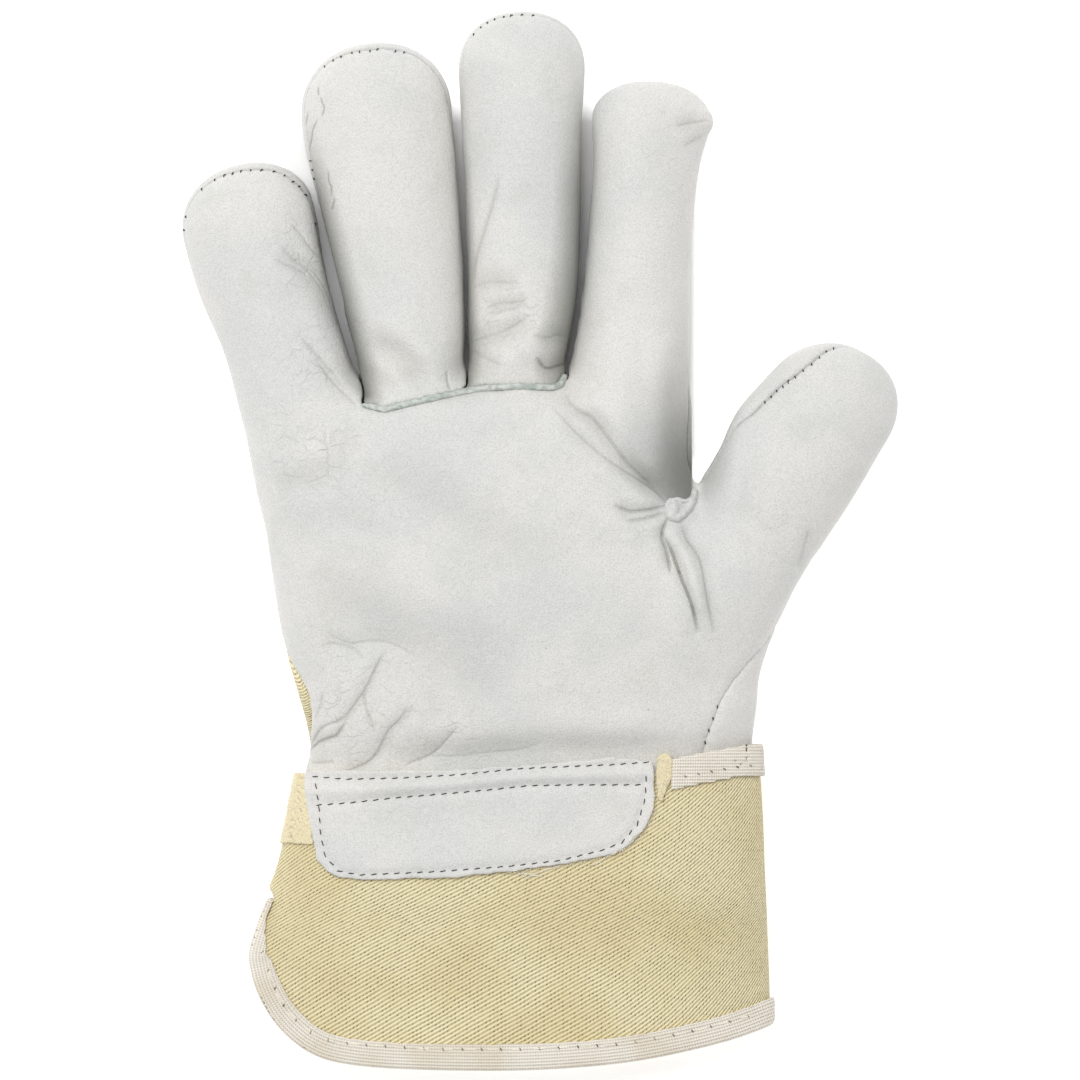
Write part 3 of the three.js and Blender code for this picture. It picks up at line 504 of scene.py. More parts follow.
def fold_drop(x, y):
    """How far the broad valleys press the palm side down at each spot."""
    drop = np.zeros(x.shape)
    for width, depth, _, chain in FOLDS:
        distance, fade = fading_line(x, y, chain, 5, 0.04)
        valley = bell(distance, width)
        ridges = bell(distance - RIDGE_PLACE * width, width)
        share_of_ridge = RIDGE_SHARE if depth > 0 else 0
        drop += depth * fade * (valley - share_of_ridge * ridges)
    return drop


def lap_rise(x, y):
    """How far the hide stands up behind each lap, where one swelling hangs over the next fold."""
    rise = np.zeros(x.shape)
    for height, reach, chain in LAPS:
        _, fade = fading_line(x, y, chain, 4)
        signed = signed_distance(x, y, chain)
        swelling = bell(np.minimum(signed, 0), reach)
        rise = np.maximum(rise, height * fade * swelling * (1 - ramp(signed / LAP_WIDTH)))
    return rise


def sharp_lines():
    """Every line pressed into the hide, as a depth and a chain."""
    creases = [(depth, chain) for _, _, depth, chain in FOLDS if depth > 0]
    return creases + [(CRACK_DEPTH, chain) for chain in CRACKS]


def line_drop(x, y):
    """Depth of the sharp lines at each spot."""
    drop = np.zeros(x.shape)
    for depth, chain in sharp_lines():
        distance, fade = fading_line(x, y, chain, 6)
        drop = np.maximum(drop, depth * fade * bell(distance, LINE_WIDTH))
    return drop


# %% [markdown]
# ## Uneven hide
# No hide is perfectly smooth. A lattice of seeded random values, blended smoothly between its
# knots, gives swells of any chosen size, and the same ones on every run.

# %% Seeded swells
# height, size and seed of the swells on each form
HAND_SWELLS = [(0.45, 21, 3), (0.18, 8.5, 5)]
CUFF_SWELLS = [(0.5, 26, 11), (0.18, 11, 12)]
CRUMPLE_SWELLS = [(0.35, 1.3, 51), (0.2, 0.7, 52)]
PATCH_FACE_SWELLS = [(0.3, 12, 31)]
PATCH_EDGE_SWELLS = [(0.25, 2.6, 33)]
FUZZ_SWELLS = [(0.25, 1.2, 41)]
WELT_SWELLS = [(0.06, 1.6, 21)]
KNOTS = 96                       # knots along each side of the lattice


def swells(x, y, size, seed):
    draw = np.random.default_rng(seed)
    lattice = draw.uniform(-1, 1, (KNOTS, KNOTS))
    u = x / size + KNOTS / 2
    v = y / size + KNOTS / 2
    i = np.floor(u).astype(int) % (KNOTS - 1)
    j = np.floor(v).astype(int) % (KNOTS - 1)
    s = ramp(u - np.floor(u))
    t = ramp(v - np.floor(v))
    low = lattice[i, j] * (1 - s) + lattice[i + 1, j] * s
    high = lattice[i, j + 1] * (1 - s) + lattice[i + 1, j + 1] * s
    return low * (1 - t) + high * t


def all_swells(x, y, rows):
    return sum(height * swells(x, y, size, seed) for height, size, seed in rows)


# %% [markdown]
# ## A form as a field of distances
# Fingers flow into a palm without an edge, and hide has an inside and an outside. Both are
# awkward to model face by face. Here a form is a number at every point of space, negative
# inside and positive outside. Two forms join smoothly by a soft minimum of their numbers, and a
# shell is the band where the number lies between zero and minus the hide's thickness.

# %% Fields of the hand and the cuff
COARSE = 1.0


class Grid:
    """Points of a box at even steps: plan arrays x and y, and a column of heights z."""

    def __init__(self, low, high, finest_step):
        step = finest_step * COARSE
        self.low = np.array(low, float)
        self.step = step
        counts = np.ceil((np.array(high, float) - self.low) / step).astype(int) + 1
        axes = [self.low[a] + step * np.arange(counts[a]) for a in range(3)]
        self.x, self.y = np.meshgrid(axes[0], axes[1], indexing="ij")
        self.z = axes[2][None, None, :].astype(np.float32)


def flat(array):
    """A plan array made ready to meet heights."""
    return array[..., None].astype(np.float32)


LEAST_SLOPE = 0.012              # keeps the distance finite in the middle of a form
NEAR_MIDDLE = 1e-3
LEAST_TOTAL = 1e-4
LEAST_STEEPNESS = 0.4


def rounded_box(side, height, end, width, tall, closing, power):
    """Distance to a rounded section of half width and half height, closed over a length."""
    a = np.abs(side) / width
    b = np.abs(height) / tall
    c = np.maximum(end, 0) / closing
    a_power = a ** power
    b_power = b ** power
    c_power = c ** power
    total = np.maximum(a_power + b_power + c_power, LEAST_TOTAL)
    q = total ** (1 / power)
    slope = np.sqrt(
        (a_power / np.maximum(a, NEAR_MIDDLE) / width) ** 2
        + (b_power / np.maximum(b, NEAR_MIDDLE) / tall) ** 2
        + (c_power / np.maximum(c, NEAR_MIDDLE) / closing) ** 2
    ) * q / total
    return (q - 1) / np.maximum(slope, LEAST_SLOPE)


def body_distance(grid, rows, height, end, closing):
    y = grid.y[0]
    left, right, low, top = (column(rows, name, y)[None, :] for name in ("left", "right", "low", "top"))
    side = grid.x - (left + right) / 2
    return rounded_box(
        flat(side), height - flat((low + top) / 2), flat(end),
        flat((right - left) / 2), flat((top - low) / 2), closing, BODY_POWER,
    )


ROOT_REACH = 15                  # a finger is rounded off inside the palm over this much
ROOT_CLOSING = 12.0


def finger_distance(grid, finger, height):
    root = np.array(finger["root"])
    run = np.array(finger["tip"]) - root
    length = float(np.hypot(*run))
    heading = run / length
    x = grid.x - root[0]
    y = grid.y - root[1]
    along = x * heading[0] + y * heading[1]
    across = x * heading[1] - y * heading[0]
    rows = finger["rows"]
    left, right, low, top = (column(rows, name, along) for name in ("left", "right", "low", "top"))
    start = rows["at"][0]
    closing = np.where(along > start + ROOT_REACH, finger["closing"], ROOT_CLOSING)
    end = np.maximum(along - (length - finger["closing"]), (start + ROOT_CLOSING) - along)
    return rounded_box(
        flat(across - (left + right) / 2), height - flat((low + top) / 2), flat(end),
        flat((right - left) / 2), flat((top - low) / 2), flat(closing), FINGER_POWER,
    )


SEAM_LIFTS = [
    # centre x, centre y, spread, lift
    (-73.6, 87.5, 21, 4.8),
    (-41.6, 117.0, 22, 4.6),
    (-4.3, 125.0, 18, 4.2),
    (29.0, 108.0, 18, 2.0),
    (66.0, 46.0, 12, 9.8),
    (51.0, 33.0, 12, 11.0),
    (42.0, 22.0, 8, 5.0),
    (-62.0, -40.0, 13, 9.0),
]


def seam_height(x, y):
    height = np.full(x.shape, SEAM_HEIGHT)
    for centre_x, centre_y, spread, lift in SEAM_LIFTS:
        height += lift * bell(np.hypot(x - centre_x, y - centre_y), spread)
    return height


def evened(distance, step):
    """The field divided by its own slope, so that a shell is equally thick on steep folds."""
    distance = distance.astype(np.float32)
    slopes = np.gradient(distance, step)
    slope = np.sqrt(sum(part * part for part in slopes))
    return distance / np.maximum(slope, LEAST_STEEPNESS)


# how softly two forms flow into each other, in millimetres
FINGER_BLEND = 5.0
THUMB_BLEND = 7.0
FLOOR_BLEND = 1.6
WEDGE_BLEND = 1.2
SLOT_BLEND = 0.6
CORNER_BLEND = 2.0
FOLDED_ABOVE = 11.0             # folds fade in from this height, over this much more
FOLD_RISE = 8.0
PALM_END_Y = 33.0               # the palm's own form closes from here, under the fingers
BODY_CLOSING = 9.0
CROTCH_FOOT = (39.4, 14.6)      # thumb and index meet sharply here, with little blending around
CROTCH_REACH = 18
CROTCH_SHARPNESS = 0.9
CROTCH_WEDGE = [(39.0, 70), (39.0, 30), (39.1, 15.6), (39.7, 14.8), (43.2, 18.6), (46.4, 24.2), (64, 70)]
FINGER_SLOT = [(-50.1, 60.0), (-52.9, 71.0), (-62, 106), (-64, 150)]
SLOT_HALF = 0.55
TIP_CORNER = (41.4, 106.4, 17.5)   # the seam's corner that sticks out at the index fingertip
TIP_CORNER_RADIUS = 3.2
SEAM_GROOVE = (0.6, 1.3)        # depth and width of the groove that a seam pulls into the hide
GUSSET_GROOVE = (0.45, 1.2)
GUSSET_LOW = 9                  # the gusset's groove fades in from this height
GUSSET_RISE = 4


def upper(z):
    """1 on the palm side, 0 on the back, where the folds don't reach."""
    return ramp((z - FOLDED_ABOVE) / FOLD_RISE)


def hand_distance(grid):
    """Distance to the hand's outer skin, creased, grooved at its seams and flat underneath."""
    x, y = grid.x, grid.y
    drop = fold_drop(x, y) + all_swells(x, y, HAND_SWELLS)
    seams = seam_height(x, y)
    height = grid.z + flat(drop) * upper(grid.z)
    palm = body_distance(grid, PALM, height, y - PALM_END_Y, BODY_CLOSING)
    fingers = np.full(palm.shape, FAR, np.float32)
    for name in ("little", "ring", "middle", "index"):
        fingers = np.minimum(fingers, finger_distance(grid, FINGERS[name], height))
    thumb = finger_distance(grid, FINGERS["thumb"], height)
    near_crotch = bell(np.hypot(x - CROTCH_FOOT[0], y - CROTCH_FOOT[1]), CROTCH_REACH)
    blend = 1 - CROTCH_SHARPNESS * flat(near_crotch)
    whole = np.minimum(soft_min(palm, fingers, FINGER_BLEND * blend),
                       soft_min(palm, thumb, THUMB_BLEND * blend))
    whole = soft_max(whole, -flat(outline_distance(x, y, CROTCH_WEDGE)), WEDGE_BLEND)
    whole = soft_max(whole, flat(SLOT_HALF - distance_to(x, y, FINGER_SLOT)), SLOT_BLEND)
    corner_x, corner_y, corner_z = TIP_CORNER
    from_corner = np.sqrt(flat((x - corner_x) ** 2 + (y - corner_y) ** 2) + (grid.z - corner_z) ** 2)
    whole = soft_min(whole, from_corner - TIP_CORNER_RADIUS, CORNER_BLEND)
    depth, width = SEAM_GROOVE
    groove = depth * bell(grid.z - flat(seams), width)
    gusset = groove_along(x, y, GUSSET_LINE, GUSSET_GROOVE)
    groove = np.maximum(groove, flat(gusset) * ramp((grid.z - GUSSET_LOW) / GUSSET_RISE))
    floor = flat(np.maximum(column(PALM, "floor", y), 0))
    return evened(soft_max(whole + groove, floor - grid.z, FLOOR_BLEND), grid.step)


CALM_HEM = 10                   # the cuff's swells fade out towards its hem over this much


def cuff_distance(grid):
    """Distance to the outer face of the cuff's cloth as a whole tube."""
    x, y = grid.x, grid.y
    drop = all_swells(x, y, CUFF_SWELLS)
    height = grid.z + flat(drop * ramp((y - CUFF["at"][0]) / CALM_HEM)) * upper(grid.z)
    tube = body_distance(grid, CUFF, height, y - FAR, BODY_CLOSING)
    return evened(soft_max(tube, CUFF_FLOOR - grid.z, FLOOR_BLEND), grid.step)


def band(distance, low, high):
    """The layer between two distances from a skin."""
    return np.abs(distance - (low + high) / 2) - (high - low) / 2


print("fields ready")

# %% [markdown]
# ## From a field to a mesh
# Surface nets put one vertex in every cell that the skin passes through, at the mean of the
# places where the skin cuts the cell's edges, and join the vertices around each cut edge into a
# quad. Marching cubes would do as well but makes thin triangles, and a remesh modifier would
# lose the thin shell. Three rounds of averaging with the neighbours take out the last steps.

# %% Surface nets


def surface_net(field, grid):
    inside = field < 0
    shape = np.array(field.shape) - 1
    count = np.zeros(shape, np.int8)
    corners = [(i, j, k) for i in (0, 1) for j in (0, 1) for k in (0, 1)]
    for i, j, k in corners:
        count += inside[i:shape[0] + i, j:shape[1] + j, k:shape[2] + k]
    cells = np.argwhere((count > 0) & (count < 8))
    index = np.full(shape, -1, np.int32)
    index[tuple(cells.T)] = np.arange(len(cells))
    values = {c: field[tuple((cells + c).T)] for c in corners}
    total = np.zeros((len(cells), 3))
    hits = np.zeros(len(cells))
    for first in corners:
        for axis in range(3):
            if first[axis] == 1:
                continue
            second = tuple(first[a] + (a == axis) for a in range(3))
            a, b = values[first], values[second]
            crossing = (a < 0) != (b < 0)
            t = np.where(crossing, a / np.where(a == b, 1, a - b), 0)
            spot = np.tile(np.array(first, float), (len(cells), 1))
            spot[:, axis] += t
            total += spot * crossing[:, None]
            hits += crossing
    points = grid.low + (cells + total / hits[:, None]) * grid.step
    quads = []
    for axis in range(3):
        u, v = (axis + 1) % 3, (axis + 2) % 3
        first = [slice(1, -1)] * 3
        second = [slice(1, -1)] * 3
        first[axis] = slice(0, -1)
        second[axis] = slice(1, None)
        a, b = inside[tuple(first)], inside[tuple(second)]
        for solid_first in (True, False):
            cut = np.argwhere((a != b) & (a == solid_first))
            offset = np.ones(3, int)
            offset[axis] = 0
            cut = cut + offset
            around = []
            for du, dv in ((-1, -1), (0, -1), (0, 0), (-1, 0)):
                cell = cut.copy()
                cell[:, u] += du
                cell[:, v] += dv
                around.append(index[tuple(cell.T)])
            ring = around if solid_first else around[::-1]
            quads.append(np.stack(ring, axis=1))
    return points, np.concatenate(quads)


def relax(points, quads, rounds, strength):
    """Move each vertex part of the way to the mean of its neighbours."""
    a = quads.reshape(-1)
    b = np.roll(quads, -1, axis=1).reshape(-1)
    count = np.bincount(a, minlength=len(points)) + np.bincount(b, minlength=len(points))
    for _ in range(rounds):
        mean = np.empty_like(points)
        for axis in range(3):
            total = np.bincount(a, points[b, axis], len(points))
            total += np.bincount(b, points[a, axis], len(points))
            mean[:, axis] = total / count
        points = points + strength * (mean - points)
    return points


def largest_body(points, quads):
    """The vertices and quads of the largest connected piece."""
    label = np.arange(len(points))
    while True:
        lowest = label[quads].min(axis=1)
        fresh = label.copy()
        for k in range(4):
            np.minimum.at(fresh, quads[:, k], lowest)
        fresh = fresh[fresh]
        if np.array_equal(fresh, label):
            break
        label = fresh
    names, counts = np.unique(label, return_counts=True)
    kept = label == names[counts.argmax()]
    renumber = np.cumsum(kept) - 1
    return points[kept], renumber[quads[kept[quads[:, 0]]]]


def mesh_object(name, points, faces):
    mesh = bpy.data.meshes.new(name)
    mesh.from_pydata((np.asarray(points) * MM).tolist(), [], [list(face) for face in faces])
    mesh.polygons.foreach_set("use_smooth", [True] * len(mesh.polygons))
    mesh.update()
    piece = bpy.data.objects.new(name, mesh)
    bpy.context.scene.collection.objects.link(piece)
    return piece


RELAX_ROUNDS = 3
RELAX_STRENGTH = 0.5


def skin_object(name, field, grid):
    points, quads = surface_net(field, grid)
    points, quads = largest_body(points, quads)
    points = relax(points, quads, RELAX_ROUNDS, RELAX_STRENGTH)
    piece = mesh_object(name, points, quads)
    print(name, "has", 2 * len(quads), "triangles")
    return piece


def spots_of(piece):
    flat_list = np.empty(len(piece.data.vertices) * 3, np.float32)
    piece.data.vertices.foreach_get("co", flat_list)
    return (flat_list.reshape(-1, 3) / MM).T


FRONT_LEATHER = ("palm_panel", "ring_finger_front", "middle_finger_front")
HAND_LEATHER = (*FRONT_LEATHER, "back_leather", "thumb_back")
pieces = {}

# %% [markdown]
# ## Sharp lines in the hide
# A crease is sharper than the steps of the grid. Only the faces near a line are split, twice, so
# the detail costs few triangles, and then the line is pressed into the outer face alone. A
# subdivision of the whole piece would need sixteen times its faces.

# %% Split the faces near the lines and press the lines in
SPLIT_REACHES = (1.3, 0.75)
FACING_UP = 0.15


def press_lines(piece, grid, skin):
    shape = bmesh.new()
    shape.from_mesh(piece.data)
    pressed = [chain for *_, chain in [*sharp_lines(), *LAPS]]
    reach_counts = []
    for reach in (*SPLIT_REACHES, None):
        shape.normal_update()
        spots = np.array([corner.co for corner in shape.verts]) / MM
        upward = np.array([corner.normal.z for corner in shape.verts]) > FACING_UP
        cells = np.rint((spots - grid.low) / grid.step).astype(int)
        cells = np.clip(cells, 0, np.array(skin.shape) - 1)
        outside = (skin[tuple(cells.T)] > -LEATHER / 2) & upward
        if reach is None:
            break
        near = outside & (nearest_of(spots[:, 0], spots[:, 1], pressed) < reach)
        edges = [edge for edge in shape.edges if near[edge.verts[0].index] and near[edge.verts[1].index]]
        reach_counts.append(len(edges))
        split = bmesh.ops.subdivide_edges(shape, edges=edges, cuts=1, use_grid_fill=True)
        fresh = [part for part in split["geom_inner"] if isinstance(part, bmesh.types.BMVert)]
        bmesh.ops.smooth_vert(shape, verts=fresh, factor=0.5, use_axis_x=True, use_axis_y=True,
                              use_axis_z=True)
        shape.verts.index_update()
        shape.verts.ensure_lookup_table()
    drop = (line_drop(spots[:, 0], spots[:, 1]) - lap_rise(spots[:, 0], spots[:, 1])) * outside
    for corner, depth in zip(shape.verts, drop):
        corner.co.z -= depth * MM
    for face in shape.faces:
        face.smooth = True
    shape.to_mesh(piece.data)
    shape.free()
    triangles = sum(len(face.vertices) - 2 for face in piece.data.polygons)
    print(piece.name, "split", reach_counts, "edges and now has", triangles, "triangles")


# %% [markdown]
# ## Leather and canvas of the hand
# The whole hand is one shell, and the pieces are cut from it where the real ones are sewn. The
# seam between front and back is a height at every spot, which climbs at the fingertips so that
# it shows from above. The other cuts are outlines seen from above. Soft maxima round each cut
# edge a little, as a folded or pressed edge is.

# %% Cut the hand's shell into its pieces
EDGE_ROUND = 0.5
HAND_STEP = 0.92
SLIT_HALF = 0.1
WELT_SLIT_HALF = 0.3
SEAM_OVERLAP = 0.15             # sewn edges press into each other
GUSSET_OVERLAP = 0.45
ABOVE_SEAM = 12.0               # trim on the palm side ends at this height


def cut_all(*fields):
    whole = fields[0]
    for field in fields[1:]:
        whole = soft_max(whole, field, EDGE_ROUND)
    return whole


def make_hand():
    grid = Grid((-94, -69, -2), (94, 138, 36.5), HAND_STEP)
    skin = hand_distance(grid)
    shell = band(skin, -LEATHER, 0)
    x, y = grid.x, grid.y
    seam = flat(seam_height(x, y))
    above = seam - SEAM_OVERLAP - grid.z
    below = grid.z - seam - SEAM_OVERLAP
    wrist = flat(WRIST_END - y)
    ring = outline_distance(x, y, [*WELT_LINE[:4], *MIDDLE_SLIT, *RING_SLIT[::-1]])
    middle = outline_distance(x, y, [*WELT_LINE[3:], *INDEX_SLIT, *MIDDLE_SLIT[::-1]])
    off_welt = flat(WELT_SLIT_HALF - distance_to(x, y, WELT_LINE))
    off_slits = flat(SLIT_HALF - nearest_of(x, y, SLITS))
    gusset = flat(outline_distance(x, y, [*GUSSET_LINE, (FAR, -74), (FAR, -4.5)]))
    thumb_back = flat(outline_distance(x, y, [*THUMB_BACK_LINE, (FAR, 70), (FAR, -80)]))
    knuckles = flat(KNUCKLE_Y - y)
    front = cut_all(shell, above, off_slits, wrist)
    back = cut_all(shell, below, off_slits, wrist)
    beside = cut_all(shell, gusset - GUSSET_OVERLAP, wrist)
    within = {
        "ring": flat(ring) - SEAM_OVERLAP,
        "middle": flat(middle) - SEAM_OVERLAP,
        "knuckles": knuckles - SEAM_OVERLAP,
        "thumb": thumb_back - SEAM_OVERLAP,
    }
    past = {
        "both fingers": -SEAM_OVERLAP - flat(np.minimum(ring, middle)),
        "gusset": -GUSSET_OVERLAP - gusset,
        "knuckles": -SEAM_OVERLAP - knuckles,
        "thumb": -SEAM_OVERLAP - thumb_back,
    }
    for node, name, fields in (
        ("palm_panel", "palm_leather", (front, past["both fingers"], off_welt, past["gusset"])),
        ("ring_finger_front", "ring_finger_leather", (front, within["ring"], off_welt)),
        ("middle_finger_front", "middle_finger_leather", (front, within["middle"], off_welt)),
        ("back_leather", "back_of_fingers_leather", (back, within["knuckles"], past["thumb"])),
        ("canvas_back", "back_canvas", (back, past["knuckles"], past["thumb"])),
        ("thumb_back", "thumb_back_leather", (np.minimum(back, beside), within["thumb"])),
    ):
        pieces[node] = skin_object(name, cut_all(*fields), grid)
    for node in FRONT_LEATHER:
        press_lines(pieces[node], grid, skin)


make_hand()

# %% [markdown]
# ## Piping at the foot of two fingers
# A narrow strip of rough grey-green hide is caught in the seam so that the stitches are not
# rubbed. It is modelled as a bead whose section is an ellipse around the seam line, with a
# little random swelling along it because it is cut by hand.

# %% Welt
WELT_HALF = 0.88                # half width of the bead, which narrows by this much at its start
WELT_NARROWS = 0.5
WELT_START = 0.03
WELT_SINKS = 0.35               # the bead's middle lies this far below the skin
WELT_HIGH = 1.25
WELT_SLOPE = 0.85               # makes the bead's field rise about one per millimetre


def make_welt():
    grid = Grid((-48, 29, 8), (10, 48, 36), 0.4)
    skin = hand_distance(grid)
    distance, share, _ = line_distance(grid.x, grid.y, WELT_LINE)
    rough = all_swells(grid.x, grid.y, WELT_SWELLS)
    width = flat(WELT_HALF + rough - WELT_NARROWS * ramp((WELT_START - share) / WELT_START))
    bead = np.sqrt((flat(distance) / width) ** 2 + ((skin + WELT_SINKS) / WELT_HIGH) ** 2)
    field = cut_all((bead - 1) * WELT_SLOPE, ABOVE_SEAM - grid.z)
    pieces["welt_strip"] = skin_object("piping", field, grid)


make_welt()

# %% [markdown]
# ## The cuff and its tapes
# The cuff is one thickness of twill, open at its mouth and slit on the little-finger side. The
# hem tape folds round the cloth's edge. Its field starts from the distance to the cloth, so the
# tape hugs both faces and turns round the edge by itself.

# %% Cuff, hem tape and top tape
TAPE_LOW = 0.22
TAPE_HIGH = 1.25
TAPE_TOP_RIGHT = 12.0           # the tape's back half reaches up to these heights at its two ends
TAPE_TOP_LEFT = 8.0
CLOTH_INSET = 1.5


def hem_fields(grid):
    """Distance inside the hem's outer edge, and the tape's width there."""
    distance, share, side = line_distance(grid.x, grid.y, HEM_LINE)
    above_slit = grid.y > HEM_LINE[0][1]
    inside = np.where(side > 0, distance, -distance)
    inside = np.where(above_slit & (side <= 0), np.maximum(distance, 0), inside)
    runs = np.hypot(np.diff(HEM["x"]), np.diff(HEM["y"]))
    shares = np.concatenate([[0], np.cumsum(runs)]) / runs.sum()
    return inside, np.interp(share, shares, HEM["tape"])


def make_cuff():
    grid = Grid((-82, -138, -1), (63, -48, 31), 0.75)
    skin = cuff_distance(grid)
    cloth = band(skin, -CANVAS, 0)
    inside, width = hem_fields(grid)
    top = flat(grid.y - CUFF_TOP_Y)
    pieces["cuff"] = skin_object("cuff_twill", cut_all(cloth, flat(CLOTH_INSET - inside), top), grid)
    x, y = grid.x, grid.y
    front = outline_distance(x, y, band_outline(TOP_TAPE_FRONT, TOP_TAPE_WIDTH))
    back = outline_distance(x, y, band_outline(TOP_TAPE_BACK, TOP_TAPE_WIDTH))
    back_top = np.where(x > 0, TAPE_TOP_RIGHT, TAPE_TOP_LEFT)
    places = np.minimum(
        np.maximum(flat(front), ABOVE_SEAM - grid.z),
        np.maximum(flat(back), grid.z - flat(back_top)))
    pieces["top_binding"] = skin_object(
        "top_tape", cut_all(band(skin, TAPE_LOW, TAPE_HIGH), places), grid)


def band_outline(line, width):
    """A band of a width below a chain."""
    lower = [(x, y - width) for x, y in line]
    return [*line, *lower[::-1]]


TAPE_END = 0.4                  # the tape is cut this far below the top of the slit
TAPE_OVERLAP = 0.7              # the least width of tape that lies on the cloth
HEM_GROOVE = (0.22, 1.3)


def make_hem_tape():
    grid = Grid((-82, -138, -1), (63, -84, 29), 0.6)
    cloth = band(cuff_distance(grid), -CANVAS, 0)
    inside, width = hem_fields(grid)
    past_edge = flat(CLOTH_INSET - inside)
    outward = np.sqrt(np.maximum(cloth, 0) ** 2 + np.maximum(past_edge, 0) ** 2)
    from_cloth = outward + np.minimum(np.maximum(cloth, past_edge), 0)
    pressed = flat(groove_along(grid.x, grid.y, HEM_STITCH_LINE, HEM_GROOVE))
    tape = band(from_cloth + pressed, TAPE_LOW, TAPE_HIGH)
    cut_end = flat(grid.y - (HEM_LINE[0][1] - TAPE_END))
    past_tape = flat(inside - np.maximum(width, CLOTH_INSET + TAPE_OVERLAP))
    pieces["hem_binding"] = skin_object("hem_tape", cut_all(tape, past_tape, cut_end), grid)


make_cuff()
make_hem_tape()

# %% [markdown]
# ## Trim around the wrist
# A leather patch covers the cuff where the wrist bends. The stitch rows pull it down, so each
# row lies in a shallow groove and the strip between the two upper rows swells. The fuzzy lining
# shows as a tab at each end. The gathered spot between thumb and index is a crumpled knot of hide.

# %% Patch, lining tabs and crotch patch
PATCH = 1.4
PATCH_LOW = 17.5                # the patch ends above this height
PATCH_FOOT_Y = -88
PATCH_ROWS = (PATCH_ROW_TOP, PATCH_ROW_LOWER, PATCH_ROW_EDGE)
ROW_GROOVE = (0.45, 1.0)
ROW_SWELLING = 0.7              # the strip between the two upper rows stands up this much
ROW_SPREAD = 3.0
ROW_FOOT_Y = -69
TAB_RIGHT_THICK = 1.0
TAB_LEFT_THICK = 0.5
TAB_LOW = 12.5
FUZZ_LIFT = 0.4


def make_patch():
    grid = Grid((-63, -90, 16), (33, -52, 32), 0.5)
    skin = cuff_distance(grid)
    x, y = grid.x, grid.y
    pressed = np.max([groove_along(x, y, row, ROW_GROOVE) for row in PATCH_ROWS], axis=0)
    off_middle = distance_to(x, y, PATCH_ROW_TOP) - distance_to(x, y, PATCH_ROW_LOWER)
    swelling = ROW_SWELLING * bell(off_middle, ROW_SPREAD) * ramp((y - ROW_FOOT_Y) / 3)
    uneven = all_swells(x, y, PATCH_FACE_SWELLS) * ramp((y - PATCH_FOOT_Y) / 6)
    face = flat(uneven + swelling - pressed)
    outline = flat(outline_distance(x, y, PATCH_OUTLINE) + all_swells(x, y, PATCH_EDGE_SWELLS))
    field = cut_all(GAP - skin, skin - (GAP + PATCH) - face, outline, PATCH_LOW - grid.z)
    pieces["vein_patch"] = skin_object("wrist_patch", field, grid)


def make_tabs():
    for node, name, outline, thick, low, high in (
        ("lining_tab_right", "lining_right", TAB_RIGHT, TAB_RIGHT_THICK, (28, -69, 20), (36, -52, 31)),
        ("lining_tab_left", "lining_left", TAB_LEFT, TAB_LEFT_THICK, (-70, -80, 9), (-55, -56, 31)),
    ):
        grid = Grid(low, high, 0.35)
        fuzz = flat(all_swells(grid.x, grid.y, FUZZ_SWELLS))
        edge = flat(outline_distance(grid.x, grid.y, outline)) + fuzz
        layer = band(cuff_distance(grid) + FUZZ_LIFT * fuzz, GAP, GAP + thick)
        pieces[node] = skin_object(name, cut_all(layer, edge, TAB_LOW - grid.z), grid)


LUMP = ((33.7, 7.9), 2.0, 3.0)   # centre, half width and half length
LUMP_HEIGHT = 1.5
EDGE_FALL = 1.5                  # how deep the knot's skirt dives into the palm
KNOT_SINKS = 0.3
KNOT_LOW = 15.0
KNOT_SLOPE = 0.6
STRAPS = [
    # width, height, chain
    (0.6, 1.3, [(33.8, 10.1), (35.2, 10.5), (36.6, 10.0), (38.0, 10.1), (39.2, 11.2)]),
    (0.95, 1.5, [(33.6, 5.9), (35.2, 5.5), (36.8, 6.6), (38.2, 8.3), (39.2, 10.2), (39.6, 12.4)]),
    (1.6, 0.5, [(34.6, 8.2), (36.4, 8.4), (38.0, 9.2)]),
]


def dome(spread, height):
    """A round rise over a spread of 1, which falls away outside it."""
    return height * np.sqrt(np.clip(1 - spread ** 2, 0, 1)) - EDGE_FALL * np.clip(spread - 1, 0, 1)


def make_crotch_patch():
    """A crumpled knot of leather with two short straps that meet at the crotch."""
    x0, y0 = CROTCH
    grid = Grid((x0 - 7, y0 - 6, 12), (x0 + 6, y0 + 6, 33), 0.25)
    x, y = grid.x, grid.y
    centre, wide, high = LUMP
    crumple = all_swells(x, y, CRUMPLE_SWELLS)
    spread = np.hypot((x - centre[0]) / wide, (y - centre[1]) / high)
    cover = dome(spread, LUMP_HEIGHT)
    for width, height, chain in STRAPS:
        cover = np.maximum(cover, dome(distance_to(x, y, chain) / width, height))
    cover = cover + crumple * (cover > 0)
    skin = hand_distance(grid)
    field = cut_all(-KNOT_SINKS - skin, KNOT_SLOPE * (skin - flat(cover)), KNOT_LOW - grid.z)
    pieces["crotch_patch"] = skin_object("gathered_patch", field, grid)


make_patch()
make_tabs()
make_crotch_patch()

# %% [markdown]
# ## Thread
# A lockstitch shows as short dashes that dive into the hide at both ends. Each dash here is a
# small tube whose middle lies on the surface and whose ends sink below it. Rays cast straight
# down find the surface, so the same rows would follow the glove if its form changed.

# %% Helpers that lay thread on a piece
STRAND_SIDES = 6
SKY = 0.1                        # rays start this far above or below the floor, in metres
TAPERED = 0.45                   # a strand's ends are this share of its width
STEEP = 0.9


